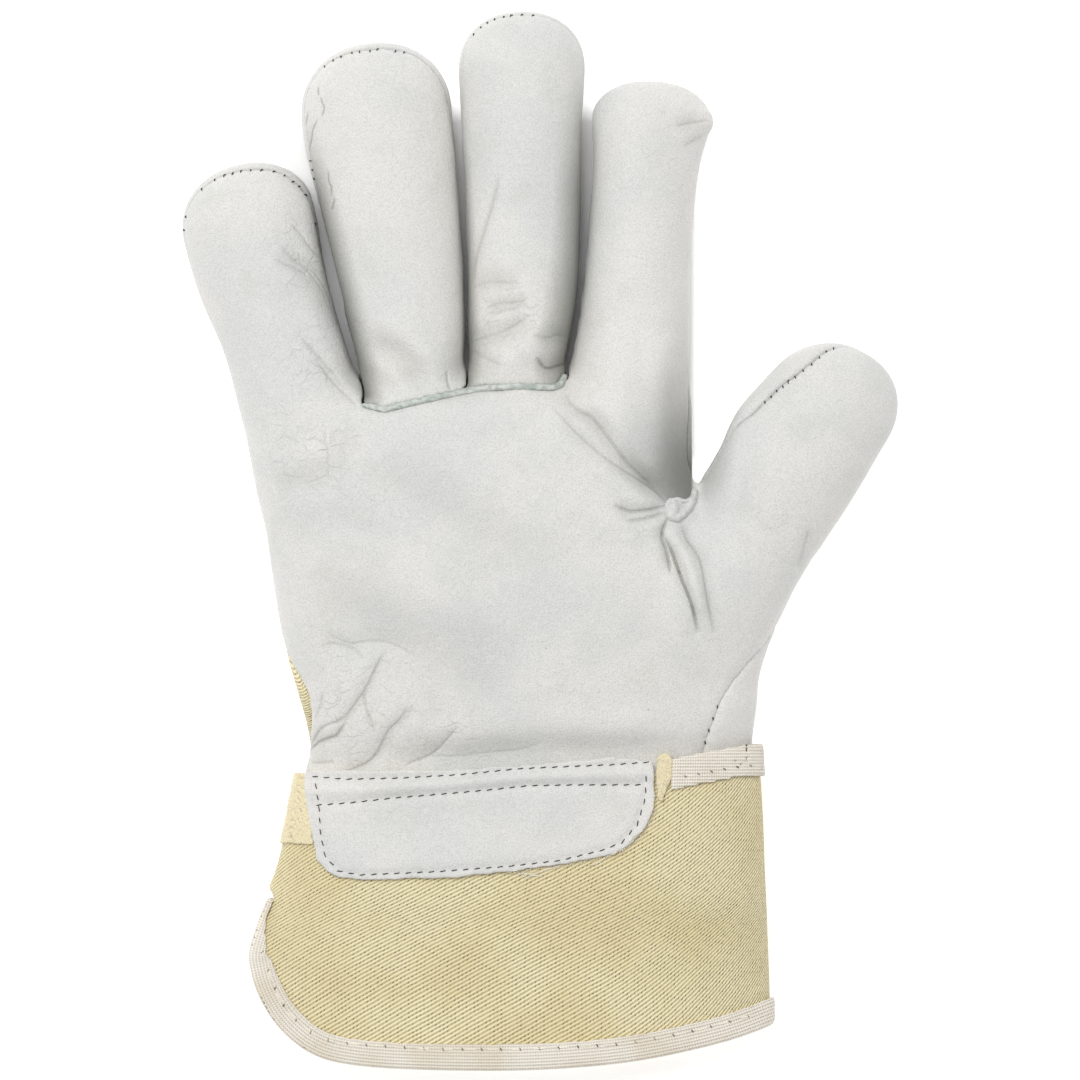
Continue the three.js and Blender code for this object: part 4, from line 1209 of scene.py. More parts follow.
class Surface:
    """The outside of some pieces, found straight below or above a spot."""

    def __init__(self, *nodes):
        graph = bpy.context.evaluated_depsgraph_get()
        self.trees = [BVHTree.FromObject(pieces[node], graph) for node in nodes]

    def height(self, x, y, from_below=False):
        start = Vector((x * MM, y * MM, -SKY if from_below else SKY))
        way = Vector((0, 0, 1 if from_below else -1))
        hits = [tree.ray_cast(start, way)[0] for tree in self.trees]
        found = [hit.z / MM for hit in hits if hit is not None]
        if not found:
            return None
        return min(found) if from_below else max(found)


def tube(path, radius):
    """Points and faces of a thin tube along a path, drawn in at both ends."""
    path = np.array(path, float)
    ways = np.gradient(path, axis=0)
    ways /= np.linalg.norm(ways, axis=1)[:, None]
    up = np.where(np.abs(ways[:, 2:3]) > STEEP, (1.0, 0.0, 0.0), (0.0, 0.0, 1.0))
    side = np.cross(ways, up)
    side /= np.linalg.norm(side, axis=1)[:, None]
    up = np.cross(side, ways)
    taper = np.full(len(path), float(radius))
    taper[[0, -1]] *= TAPERED
    turns = np.arange(STRAND_SIDES) * 2 * math.pi / STRAND_SIDES
    rings = path[:, None] + taper[:, None, None] * (
        np.cos(turns)[None, :, None] * side[:, None] + np.sin(turns)[None, :, None] * up[:, None])
    faces = [list(range(STRAND_SIDES))[::-1]]
    for ring in range(len(path) - 1):
        for k in range(STRAND_SIDES):
            a = ring * STRAND_SIDES + k
            b = ring * STRAND_SIDES + (k + 1) % STRAND_SIDES
            faces.append([a, b, b + STRAND_SIDES, a + STRAND_SIDES])
    last = (len(path) - 1) * STRAND_SIDES
    faces.append([last + k for k in range(STRAND_SIDES)])
    return rings.reshape(-1, 3), faces


def strands_object(name, paths, radius):
    points, faces = [], []
    for path in paths:
        fresh_points, fresh_faces = tube(path, radius)
        start = sum(len(p) for p in points)
        points.append(fresh_points)
        faces += [[start + k for k in face] for face in fresh_faces]
    print(name, "has", len(paths), "strands")
    return mesh_object(name, np.concatenate(points), faces)


def walk(line, pitch):
    """Spots at an even pitch along a chain, each with the heading there."""
    points = np.array(line, float)
    runs = np.hypot(*np.diff(points, axis=0).T)
    places = np.concatenate([[0], np.cumsum(runs)])
    count = max(int(round(places[-1] / pitch)), 1)
    spots = (np.arange(count) + 0.5) * places[-1] / count
    x = np.interp(spots, places, points[:, 0])
    y = np.interp(spots, places, points[:, 1])
    k = np.clip(np.searchsorted(places, spots) - 1, 0, len(runs) - 1)
    headings = np.diff(points, axis=0)[k] / runs[k][:, None]
    return zip(x, y, headings[:, 0], headings[:, 1])


DASH_LIFTS = (-0.35, 0.1, 0.2, 0.1, -0.35)
DASH_SHARES = np.linspace(-0.5, 0.5, len(DASH_LIFTS))
TICK_LIFT = 0.05


def dash_paths(surface, line, pitch, length, slant=0.0, from_below=False, lift=0.0):
    """Paths of the stitches of one row, each turned by a slant in radians."""
    paths = []
    for x, y, ahead_x, ahead_y in walk(line, pitch):
        way_x = ahead_x * math.cos(slant) - ahead_y * math.sin(slant)
        way_y = ahead_x * math.sin(slant) + ahead_y * math.cos(slant)
        path = []
        for share, rise in zip(DASH_SHARES, DASH_LIFTS):
            spot_x = x + share * length * way_x
            spot_y = y + share * length * way_y
            z = surface.height(spot_x, spot_y, from_below)
            if z is None:
                break
            rise = rise + lift
            path.append((spot_x, spot_y, z - rise if from_below else z + rise))
        if len(path) == len(DASH_LIFTS):
            steps = np.abs(np.diff([point[2] for point in path]))
            if steps.max() < length:
                paths.append(path)
    return paths


# %% [markdown]
# ## Rows of dark stitches
# The rows of the patch, the gusset and the tapes are chains with an even pitch. The seam round
# the fingers has no chain of its own, because it climbs and falls. Its stitches start from the
# mesh: from vertices just above the seam, taken only where none is closer than one pitch.

# %% Stitch rows of the patch, the side seams, the gusset and the tapes
dark_threads = {}
brown_threads = {}
SEAM_PITCH = 1.9
TICKED_LIFT = 3.3                # the seam shows its stitches from above only where it is lifted
TICK_RISES = (0.6, 1.6)          # least and most height of a stitch above the seam
TICK_LEANS = (0.1, 0.5)
TICK_LENGTHS = (1.2, 1.8)
TICKS_END_Y = -56
LEAST_FACING = 0.02
UNTICKED = [
    # left, right, lower and upper edge of the places where no stitch shows
    (-FAR, -40, -FAR, -12),
    (36, 58, 8, 35),
    (30, 44, 35, 100),
    (-62, -21, 97, 117),
    (-34, -21, 97, 150),
    (-21, 12, 97, 128.5),
]


def seam_ticks(nodes):
    """Short stitches across the seam between front and back, all the way round the fingers."""
    draw = np.random.default_rng(61)
    ticks = []
    for node in nodes:
        mesh = pieces[node].data
        x, y, z = spots_of(pieces[node])
        normals = np.empty(len(mesh.vertices) * 3, np.float32)
        mesh.vertices.foreach_get("normal", normals)
        normals = normals.reshape(-1, 3)
        rise = z - seam_height(x, y)
        lift = seam_height(x, y) - SEAM_HEIGHT
        facing = normals[:, 2]
        faces_up = (facing > FACING_UP) & (lift < TICKED_LIFT)
        covered = np.any([(x >= left) & (x < right) & (y >= lower) & (y < upper_edge)
                          for left, right, lower, upper_edge in UNTICKED], axis=0)
        least, most = TICK_RISES
        near = np.flatnonzero((rise > least) & (rise < most) & (facing > LEAST_FACING)
                              & (y > TICKS_END_Y) & ~(covered | faces_up))
        taken = []
        for k in near:
            spot = np.array((x[k], y[k]))
            if taken and np.min(np.hypot(*(np.array(taken) - spot).T)) < SEAM_PITCH:
                continue
            taken.append(spot)
            out = normals[k]
            up = np.array((0.0, 0.0, 1.0)) - out[2] * out
            up /= np.linalg.norm(up)
            along = np.cross(up, out)
            way = up + along * draw.uniform(*TICK_LEANS)
            length = draw.uniform(*TICK_LENGTHS)
            middle = np.array((x[k], y[k], z[k]))
            ticks.append([middle + share * length * way + (above + TICK_LIFT) * out
                          for share, above in zip(DASH_SHARES, DASH_LIFTS)])
    return ticks


def make_stitches():
    patch = Surface("vein_patch", "palm_panel")
    rows = []
    for line in PATCH_ROWS:
        rows += dash_paths(patch, line, pitch=2.9, length=2.1, slant=0.12)
    dark_threads["patch_thread"] = strands_object("patch_thread", rows, radius=0.13)
    ticks = seam_ticks(FRONT_LEATHER)
    leather = Surface("palm_panel", "thumb_back")
    ticks += dash_paths(leather, GUSSET_STITCH_LINE, pitch=3.4, length=1.2, slant=0.4)
    dark_threads["seam_thread"] = strands_object("seam_thread", ticks, radius=0.17)
    hem = Surface("hem_binding")
    ticks = dash_paths(hem, HEM_STITCH_LINE, pitch=4.9, length=1.1, slant=-1.1)
    ticks += dash_paths(hem, HEM_STITCH_LINE, pitch=4.9, length=1.1, slant=1.1, from_below=True)
    tape = Surface("top_binding")
    ticks += dash_paths(tape, TOP_TAPE_STITCH_LINE, pitch=3.4, length=1.0, slant=-0.8)
    brown_threads["tape_thread"] = strands_object("tape_thread", ticks, radius=0.15)


make_stitches()

# %% [markdown]
# ## Pale thread, fuzz and frayed ends
# Between its dark ticks the hem's thread is cream and half sunk in the tape. The lining is
# brushed cotton, so short curved fibres stand off both tabs, and the raw edge of the patch has a
# few pulled threads. Fibres are cheap as tubes because there are only some hundreds.

# %% Cream thread and fibres
pale_threads = {}
FULL_TURN = 2 * math.pi
MOST_CURL = 1.2
FIBRE_SINKS = 0.1
FIBRE_RISE = 0.45
FIBRE_BEND = 2.4
SCATTER_FROM = (-70, -90)


def fibre_paths(surface, spots, length, seed):
    """Short bent fibres that stand on a surface at chosen spots."""
    draw = np.random.default_rng(seed)
    paths = []
    for x, y in spots:
        turn = draw.uniform(0, FULL_TURN)
        curl = draw.uniform(-MOST_CURL, MOST_CURL)
        reach = length * draw.uniform(0.5, 1.2)
        z = surface.height(x, y)
        if z is None:
            continue
        path = []
        for share in np.linspace(0, 1, 4):
            way = turn + curl * share
            path.append((
                x + reach * share * math.cos(way),
                y + reach * share * math.sin(way),
                z - FIBRE_SINKS + FIBRE_RISE * math.sin(FIBRE_BEND * share),
            ))
        paths.append(path)
    return paths


def scatter(outline, count, seed):
    draw = np.random.default_rng(seed)
    low = np.max([np.min(outline, axis=0), SCATTER_FROM], axis=0)
    high = np.max(outline, axis=0)
    spots = draw.uniform(low, high, (count * 3, 2))
    kept = outline_distance(spots[:, 0], spots[:, 1], outline) < -0.1
    return spots[kept][:count]


THREAD_SPOTS = 14
THREAD_LIFT = 0.1
YARN_APART = 0.12                # a pulled thread is two yarns twisted round each other
YARN_TWIST = 5
PULLED_THREADS = [
    [(-6.2, -85.6), (-4.6, -84.4), (-1.4, -84.8), (1.6, -83.6), (5.4, -82.6)],
    [(-5.6, -83.8), (-4.0, -85.4), (-2.6, -84.2)],
    [(-3.6, -86.0), (-1.8, -85.0), (0.8, -85.2)],
    [(12.6, -82.6), (15.2, -81.8), (17.2, -80.2), (20.2, -78.9)],
    [(22.8, -76.6), (24.6, -74.6), (26.6, -73.4)],
    [(27.6, -70.8), (28.8, -68.0), (29.0, -65.0)],
]


def make_pale_threads():
    hem = Surface("hem_binding")
    rows = dash_paths(hem, HEM_STITCH_LINE, pitch=5.8, length=4.0, lift=-0.05)
    pale_threads["hem_thread"] = strands_object("hem_thread", rows, radius=0.2)
    tabs = Surface("lining_tab_right", "lining_tab_left")
    spots = [*scatter(TAB_RIGHT, count=80, seed=51), *scatter(TAB_LEFT, count=300, seed=52)]
    fuzz = fibre_paths(tabs, spots, length=0.7, seed=53)
    pale_threads["lining_fuzz"] = strands_object("lining_fuzz", fuzz, radius=0.04)
    around = Surface("vein_patch", "cuff")
    edge = [(x, y) for x, y, _, _ in walk(FRAYED_EDGE, pitch=0.22)]
    paths = fibre_paths(around, edge, length=0.9, seed=54)
    for line in PULLED_THREADS:
        spots = np.array(line)
        places = np.linspace(0, len(spots) - 1, THREAD_SPOTS)
        x = np.interp(places, range(len(spots)), spots[:, 0])
        y = np.interp(places, range(len(spots)), spots[:, 1])
        heights = [around.height(a, b) for a, b in zip(x, y)]
        smooth = np.convolve(np.pad(heights, 2, mode="edge"), np.full(5, 1 / 5), mode="valid")
        heights = np.maximum(smooth, np.array(heights) + THREAD_LIFT)
        for side in (-YARN_APART, YARN_APART):
            twist = side * np.cos(places * YARN_TWIST)
            paths.append(np.stack([x + twist, y - twist, heights + THREAD_LIFT + YARN_APART], axis=1))
    pale_threads["frayed_ends"] = strands_object("frayed_ends", paths, radius=0.08)


make_pale_threads()

# %% [markdown]
# ## Writing shader maths as sums
# A material is a graph of small nodes, and long graphs are hard to read. The class below wraps a
# socket, so that `ribs * 0.5 + 1` adds the two Math nodes. Colours go through Mix nodes, since a
# Math node would turn them grey.

# %% Finish: a material as expressions


class Value:
    """An output of a node that can be used in sums."""

    def __init__(self, finish, socket):
        self.finish = finish
        self.socket = socket

    def __add__(self, other):
        return self.finish.maths("ADD", self, other)

    def __sub__(self, other):
        return self.finish.maths("SUBTRACT", self, other)

    def __rsub__(self, other):
        return self.finish.maths("SUBTRACT", other, self)

    def __mul__(self, other):
        return self.finish.maths("MULTIPLY", self, other)

    def __truediv__(self, other):
        return self.finish.maths("DIVIDE", self, other)

    __radd__ = __add__
    __rmul__ = __mul__

    def ramp(self, low, high):
        """0 at low, 1 at high, and clamped."""
        inputs = {"Value": self, "From Min": low, "From Max": high}
        return self.finish.node("ShaderNodeMapRange", {"interpolation_type": "SMOOTHSTEP"}, inputs)


def socket_label(name):
    return name.replace("_", " ").title().replace("Ior", "IOR")


class Finish:
    """A material with one way to add any node, and places measured in millimetres."""

    def __init__(self, name, **constants):
        self.material = bpy.data.materials.new(name)
        self.material.use_nodes = True
        self.tree = self.material.node_tree
        self.shader = self.tree.nodes["Principled BSDF"]
        for socket, value in constants.items():
            self.shader.inputs[socket_label(socket)].default_value = value
        metres = self.node("ShaderNodeTexCoord", output="Object")
        self.place = self.stretched(metres, (1000, 1000, 1000))

    def plug(self, socket, value):
        if isinstance(value, Value):
            self.tree.links.new(value.socket, socket)
        else:
            socket.default_value = value

    def node(self, kind, settings=None, inputs=None, output=0):
        made = self.tree.nodes.new(kind)
        for name, value in (settings or {}).items():
            setattr(made, name, value)
        for name, value in (inputs or {}).items():
            self.plug(made.inputs[name], value)
        return Value(self, made.outputs[output])

    def maths(self, operation, *values):
        return self.node("ShaderNodeMath", {"operation": operation}, dict(enumerate(values)))

    def sine(self, value):
        return self.maths("SINE", value * (2 * math.pi))

    def stretched(self, vector, factors):
        return self.node("ShaderNodeVectorMath", {"operation": "MULTIPLY"}, {0: vector, 1: factors})

    def noise(self, size, detail=2.0, output=0):
        inputs = {"Vector": self.place, "Scale": 1 / size, "Detail": detail}
        return self.node("ShaderNodeTexNoise", None, inputs, output)

    def wandering(self, reach, size, factors):
        """Places pushed about by a noise of a size, then stretched."""
        drift = self.noise(size, output="Color")
        push = self.node("ShaderNodeVectorMath", {"operation": "SCALE"}, {0: drift, "Scale": reach})
        moved = self.node("ShaderNodeVectorMath", {"operation": "ADD"}, {0: self.place, 1: push})
        return self.stretched(moved, factors)

    def cells(self, size, feature="DISTANCE_TO_EDGE", place=None):
        inputs = {"Vector": place or self.place, "Scale": 1 / size}
        return self.node("ShaderNodeTexVoronoi", {"feature": feature}, inputs)

    def measure(self, name):
        """A number stored at every vertex of the piece."""
        return self.node("ShaderNodeAttribute", {"attribute_name": name}, output="Fac")

    def mix(self, factor, first, second):
        inputs = {0: factor, 6: first, 7: second}
        return self.node("ShaderNodeMix", {"data_type": "RGBA"}, inputs, output=2)

    def paint(self, **looks):
        for name, value in looks.items():
            self.plug(self.shader.inputs[socket_label(name)], value)

    def emboss(self, *layers):
        """Bump nodes in a chain, each with its height and its depth in millimetres."""
        normal = None
        for height, depth in layers:
            inputs = {"Height": height, "Distance": depth * MM}
            if normal:
                inputs["Normal"] = normal
            normal = self.node("ShaderNodeBump", None, inputs)
        self.plug(self.shader.inputs["Normal"], normal)


def ink(red, green, blue):
    """A colour picked in screen values, turned into light values."""
    light = [(c / 255 / 12.92) if c < 11 else ((c / 255 + 0.055) / 1.055) ** 2.4
             for c in (red, green, blue)]
    return (*light, 1.0)


# %% [markdown]
# ## Measures that the finishes need
# Some patterns follow the piece and not the room. The twill's ribs run round the cuff, the
# tape's ribs follow the hem, and painted shade darkens the bottoms of creases and seams, the
# valleys of folds and the gaps between the fingers. These numbers are worked out at every
# vertex and stored on the mesh, where the materials read them.

# %% Store measures on the meshes
CRACK_WIDTH = 0.2
FULLY_DARK = 1.2                 # a line or valley this deep is as dark as any
LEAST_DARK = 0.25
FLANK_SHARE = 0.8                # share of a flank's height that counts in the way round
LEAST_WORN = 0.12
FRONT_FROM = 10                  # the palm side's measures fade in from this height
FRONT_RISE = 4
# SEAM_DARK sets the painted shadow line along the seam between front and back
SEAM_DARK = (0.7, 0.35)          # strength and width of the dark line in a seam
FLOOR_CLEAR = 3.0                # no shade is stored below this height, where the back begins
FLOOR_RISE = 6
CROTCH_SHADE = [(38.0, 10.0), (38.9, 24.0), (39.3, 34.0), (40.0, 60.0), (40.0, 110.0)]
CROTCH_SHADE_END = (39.4, 6.5)
CROTCH_SHADE_REACH = 19.0
CROTCH_POWER = 0.8
CROTCH_WIDENS = 0.9              # the shade's right end lies this much further right higher up
CROTCH_FADE_SIDE = 0.7
CROTCH_FADE_UP = 3.5
SLIT_DARK = 0.8
SLIT_REACH = 4.0
FLANK_POWER = 1.1
# where each fade ends or starts, and its reach: heights in millimetres, or shares of a chain
CROTCH_WIDENS_UP = (16.0, 3)
CROTCH_FADE_ALONG = (0.44, 0.42)
FOLD_FADE = (-2.0, 4)
SLIT_FADE_UP = (21.0, 12)
SLIT_FADE_ALONG = (0.62, 0.3)
FLANK_FADE_ALONG = (0.68, 0.26)
DEEPEST_SHADED = 3.0
SHADED_FLANKS = {
    "ring_finger_front": [(RING_SLIT, 6.0)],
    "middle_finger_front": [(MIDDLE_SLIT, 3.6), (INDEX_SLIT, 8.8)],
}


def store(piece, name, values):
    layer = piece.data.attributes.new(name, "FLOAT", "POINT")
    layer.data.foreach_set("value", np.asarray(values, np.float32))


def girth(rows, x, y, z, tops=True):
    """Distance round the tube from the middle of its top, with one jump at its left edge."""
    left, right, low, top = (column(rows, name, y) for name in ("left", "right", "low", "top"))
    side = x - (left + right) / 2
    wide = (right - left) / 2
    middle = (low + top) / 2
    outward = np.clip(side / wide, -1, 1)
    over = side + outward * np.maximum(top - z, 0) * FLANK_SHARE
    under = (2 * wide + FLANK_SHARE * (top - low) - side
             - outward * np.maximum(z - low, 0) * FLANK_SHARE)
    return np.where((z > middle) & tops, over, under)


def crease_shade(x, y):
    """How much painted shade darkens the bottom of each line."""
    shade = np.zeros(x.shape)
    for depth, chain in sharp_lines():
        distance, fade = fading_line(x, y, chain, 5)
        dark = 1.0 if chain in CRACKS else np.clip(depth / FULLY_DARK, LEAST_DARK, 1)
        width = CRACK_WIDTH if chain in CRACKS else LINE_WIDTH
        shade = np.maximum(shade, dark * fade * bell(distance, width))
    return shade


WORN_SPOTS = [
    # centre x, centre y, radius, strength
    (-61.0, 73.0, 11, 1.0),
    (-56.0, 47.0, 13, 0.9),
    (-58.0, 24.0, 15, 1.0),
    (-40.0, 10.0, 16, 0.5),
    (-47.0, -42.0, 17, 1.0),
    (-24.0, -50.0, 14, 0.7),
    (-32.0, 46.0, 10, 0.6),
    (-8.0, 56.0, 11, 0.8),
    (24.0, 6.0, 9, 0.6),
    (34.0, 92.0, 13, 0.4),
    (62.0, 6.0, 14, 0.5),
    (-30.0, -74.0, 24, 0.35),
    (-18.0, 92.0, 12, 0.3),
]


def wear(x, y):
    """How crackled the hide is: most where it bends."""
    worn = np.full(x.shape, LEAST_WORN)
    for centre_x, centre_y, radius, strength in WORN_SPOTS:
        worn = np.maximum(worn, strength * bell(np.hypot(x - centre_x, y - centre_y), radius))
    return worn


def painted_fold_shade(x, y):
    """How much painted shade a valley between swellings gets, apart from the deep one at the crotch."""
    shade = np.zeros(x.shape)
    for width, depth, _, chain in FOLDS:
        if 0 < depth < DEEPEST_SHADED:
            distance, fade = fading_line(x, y, chain, 5)
            shade = np.maximum(shade, min(depth / FULLY_DARK, 1) * fade * bell(distance, width))
    return shade


def fade_before(value, end, reach):
    """1 below the reach of an end, and 0 from the end on."""
    return ramp((end - value) / reach)


def fade_after(value, start, reach):
    """0 up to a start, and 1 past its reach."""
    return ramp((value - start) / reach)


def slit_shade(x, y, z, line):
    """Shade at the foot of two fingers, deepest where both lie closest."""
    distance, share, _ = line_distance(x, y, line)
    fade = fade_before(z, *SLIT_FADE_UP) * fade_before(share, *SLIT_FADE_ALONG)
    return SLIT_DARK * fade * bell(distance, SLIT_REACH)


def flank_shade(x, y, line, width):
    """Shade on a finger's flank, fading out along the slit beside it."""
    distance, share, _ = line_distance(x, y, line)
    fade = fade_before(share, *FLANK_FADE_ALONG)
    return np.clip(1 - distance / width, 0, 1) ** FLANK_POWER * fade


def crotch_shade(x, y):
    """Shade on the index finger beside the crotch, ending at the fold and at the thumb."""
    distance, share, _ = line_distance(x, y, CROTCH_SHADE)
    past_fold = signed_distance(x, y, INDEX_FOLD)
    end_x, end_y = CROTCH_SHADE_END
    end_x = end_x + CROTCH_WIDENS * fade_after(y, *CROTCH_WIDENS_UP)
    fade = fade_before(share, *CROTCH_FADE_ALONG) * fade_before(x, end_x, CROTCH_FADE_SIDE)
    fade = fade * fade_after(y, end_y, CROTCH_FADE_UP) * fade_after(past_fold, *FOLD_FADE)
    return np.clip(1 - distance / CROTCH_SHADE_REACH, 0, 1) ** CROTCH_POWER * fade


def painted_gap_shade(node, x, y, z):
    """Painted shade at a spot: between two fingers, on their flanks and beside the crotch."""
    above_floor = ramp((z - FLOOR_CLEAR) / FLOOR_RISE)
    shades = [slit_shade(x, y, z, line) * above_floor for line in SLITS]
    shades += [flank_shade(x, y, line, width) for line, width in SHADED_FLANKS.get(node, ())]
    if node in ("palm_panel", "back_leather"):
        shades.append(crotch_shade(x, y) * above_floor)
    return np.max(shades, axis=0)


def store_measures():
    seam_dark, seam_width = SEAM_DARK
    for node in (*HAND_LEATHER, "vein_patch", "crotch_patch"):
        x, y, z = spots_of(pieces[node])
        front = ramp((z - FRONT_FROM) / FRONT_RISE) * (node in FRONT_LEATHER)
        # the seam's dark line is a painted shadow
        seam = seam_dark * bell(z - seam_height(x, y), seam_width) * (node in HAND_LEATHER)
        store(pieces[node], "crease", np.maximum(crease_shade(x, y) * front, seam))
        store(pieces[node], "worn", wear(x, y))
        # painted shade in the valleys of the folds, on the palm side only
        store(pieces[node], "painted_fold_shade", painted_fold_shade(x, y) * front)
        # painted shade in the finger gaps, on the flanks and beside the crotch, none on the knot
        store(pieces[node], "painted_gap_shade", painted_gap_shade(node, x, y, z) * (node != "crotch_patch"))
    for node in ("cuff", "top_binding"):
        x, y, z = spots_of(pieces[node])
        store(pieces[node], "along", girth(CUFF, x, y, z))
        store(pieces[node], "across", y)
    x, y, z = spots_of(pieces["canvas_back"])
    store(pieces["canvas_back"], "along", y)
    store(pieces["canvas_back"], "across", -girth(PALM, x, y, z, tops=False))
    x, y, z = spots_of(pieces["hem_binding"])
    distance, share, _ = line_distance(x, y, HEM_LINE)
    length = np.hypot(*np.diff(np.array(HEM_LINE), axis=0).T).sum()
    store(pieces["hem_binding"], "along", share * length)
    store(pieces["hem_binding"], "across", distance)


store_measures()

# %% [markdown]
# ## Leather
# Grain leather is the outer face of the hide: off-white, cool in places and warmer in others,
# with pores, a fine net of grain and a low satin sheen. Colour comes from large soft noise,
# relief from small noise and the edges of Voronoi cells, which look like grain. The roughness
# follows the same grain, because polished high spots shine a little more.

# %% Leather finishes


def leather_finish():
    finish = Finish("grain_leather", specular_ior_level=0.32, sheen_weight=0.08, sheen_roughness=0.5)
    clouds = finish.noise(34, 3).ramp(0.38, 0.62)
    patches = finish.noise(12, 4).ramp(0.5, 0.78)
    pores = finish.noise(0.33, 2)
    dust = finish.noise(1.7, 3)
    grain = finish.cells(0.95)
    worn = finish.measure("worn")
    wide_net = finish.cells(5.2, place=finish.wandering(3.0, 3.4, (1.0, 1.5, 1.0)))
    fine_net = finish.cells(2.1, place=finish.wandering(1.2, 1.5, (1.25, 1.0, 1.0)))
    wide_lines = 1 - wide_net.ramp(0.0, 0.09)
    fine_lines = 1 - fine_net.ramp(0.0, 0.16)
    broken = finish.noise(4.5, 2).ramp(0.42, 0.6)
    lines = (wide_lines * broken + fine_lines * 0.45 * (1 - broken)) * worn
    colour = finish.mix(clouds, ink(222, 222, 220), ink(231, 229, 225))
    colour = finish.mix(patches * 0.32, colour, ink(203, 205, 197))
    colour = finish.mix((1 - pores.ramp(0.33, 0.6)) * 0.38, colour, ink(172, 174, 168))
    colour = finish.mix(dust.ramp(0.5, 0.75) * 0.14, colour, ink(243, 243, 241))
    colour = finish.mix(lines * 0.16, colour, ink(146, 148, 138))
    # painted shade at the bottom of creases and cracks, and a painted shadow line along the seam
    colour = finish.mix(finish.measure("crease") * 0.55, colour, ink(118, 120, 108))
    # painted shade in the valleys of the folds
    colour = finish.mix(finish.measure("painted_fold_shade") * 0.2, colour, ink(120, 122, 112))
    specks = finish.cells(13, "F1")
    colour = finish.mix((1 - specks.ramp(0.012, 0.03)) * 0.6, colour, ink(150, 141, 96))
    # painted shade between the fingers, on their flanks and beside the crotch
    colour = finish.mix(finish.measure("painted_gap_shade") * 0.8, colour, ink(84, 86, 76))
    finish.paint(base_color=colour, roughness=0.5 + 0.14 * pores)
    finish.emboss(
        (finish.noise(6.0, 3), 0.3),
        (1 - lines, 0.13),
        (grain.ramp(0.0, 0.25), 0.025),
        (pores, 0.06),
    )
    return finish.material


def welt_finish():
    finish = Finish("grey_welt", specular_ior_level=0.2)
    worn = finish.noise(1.6, 4)
    colour = finish.mix(worn.ramp(0.35, 0.65), ink(176, 186, 180), ink(214, 217, 211))
    finish.paint(base_color=colour, roughness=0.72 + 0.15 * worn)
    finish.emboss((worn, 0.4), (finish.noise(0.35, 2), 0.15))
    return finish.material


# %% [markdown]
# ## Twill and tape
# Twill is woven so that its ribs climb across the cloth. Here a rib is a wave of the height
# above a slanted line, and the dark flecks of the other yarn sit in the valleys between ribs.
# The tape has ribs along it and fine cross threads, with pinholes where they meet.

# %% Cloth finishes
RIB_PITCH = 1.1
FLECK_PITCH = 0.98
TAPE_RIB = 0.82
TAPE_CROSS = 0.7


def twill_finish():
    finish = Finish("twill_canvas", specular_ior_level=0.15, sheen_weight=0.25, sheen_roughness=0.6)
    along = finish.measure("along")
    across = finish.measure("across")
    slack = finish.noise(9, 2) * 0.5
    beyond = finish.maths("MAXIMUM", along - 25, 0.0)
    climb = 0.55 * along + 0.0065 * beyond * beyond
    phase = (across - climb) / RIB_PITCH + slack
    wave = finish.sine(phase) * 0.5 + 0.5
    tufts = finish.sine(along / FLECK_PITCH) * 0.5 + 0.5
    uneven = finish.noise(1.3, 3)
    valley = 1 - wave.ramp(0.06, 0.5)
    clouds = finish.noise(26, 3).ramp(0.35, 0.65)
    colour = finish.mix(clouds, ink(252, 240, 200), ink(243, 228, 182))
    # painted shade in the low places between the ribs; the flecks below are the other yarn
    colour = finish.mix(valley * 0.72, colour, ink(180, 168, 116))
    flecks = valley * tufts.ramp(0.5, 0.92) * uneven.ramp(0.38, 0.62)
    colour = finish.mix(flecks, colour, ink(98, 92, 64))
    finish.paint(base_color=colour, roughness=0.82 + 0.1 * uneven)
    finish.emboss((finish.noise(7, 2), 0.5), (wave + tufts * 0.25, 0.24), (uneven, 0.18))
    return finish.material


def tape_finish():
    finish = Finish("woven_tape", specular_ior_level=0.2, sheen_weight=0.2, sheen_roughness=0.5)
    ribs = finish.sine(finish.measure("across") / TAPE_RIB) * 0.5 + 0.5
    cross = finish.sine(finish.measure("along") / TAPE_CROSS) * 0.5 + 0.5
    uneven = finish.noise(1.0, 3)
    hole = (1 - ribs.ramp(0.05, 0.55)) * (1 - cross.ramp(0.1, 0.6))
    colour = finish.mix(finish.noise(15, 2).ramp(0.35, 0.65), ink(252, 246, 234), ink(242, 232, 215))
    # painted shade between the ribs and in the pinholes
    colour = finish.mix((1 - ribs) * 0.24, colour, ink(220, 207, 186))
    colour = finish.mix(hole * 0.55, colour, ink(158, 145, 124))
    finish.paint(base_color=colour, roughness=0.75 + 0.15 * uneven)
    finish.emboss((ribs + cross * 0.5, 0.2), (uneven, 0.12))
    return finish.material


def lining_finish():
    finish = Finish("brushed_lining", specular_ior_level=0.1, sheen_weight=0.5, sheen_roughness=0.4)
    fluff = finish.noise(0.6, 4)
    colour = finish.mix(fluff.ramp(0.3, 0.7), ink(229, 215, 176), ink(242, 231, 197))
    finish.paint(base_color=colour, roughness=0.9 + 0.1 * fluff)
    finish.emboss((fluff, 0.35))
    return finish.material


def thread_finish(name, first, second, size=0.5):
    finish = Finish(name, specular_ior_level=0.3)
    twist = finish.noise(size, 2)
    finish.paint(
        base_color=finish.mix(twist.ramp(0.35, 0.65), ink(*first), ink(*second)),
        roughness=0.6 + 0.2 * twist,
    )
    finish.emboss((twist, 0.1))
    return finish.material


# %% [markdown]
# ## Dressing the pieces
# The record names a slot for every solid, and each piece takes the finish of that slot. The piece
# then replaces its solid and rides on the glove's one body. Threads and fuzz replace nothing.

# %% Put the finishes on the pieces


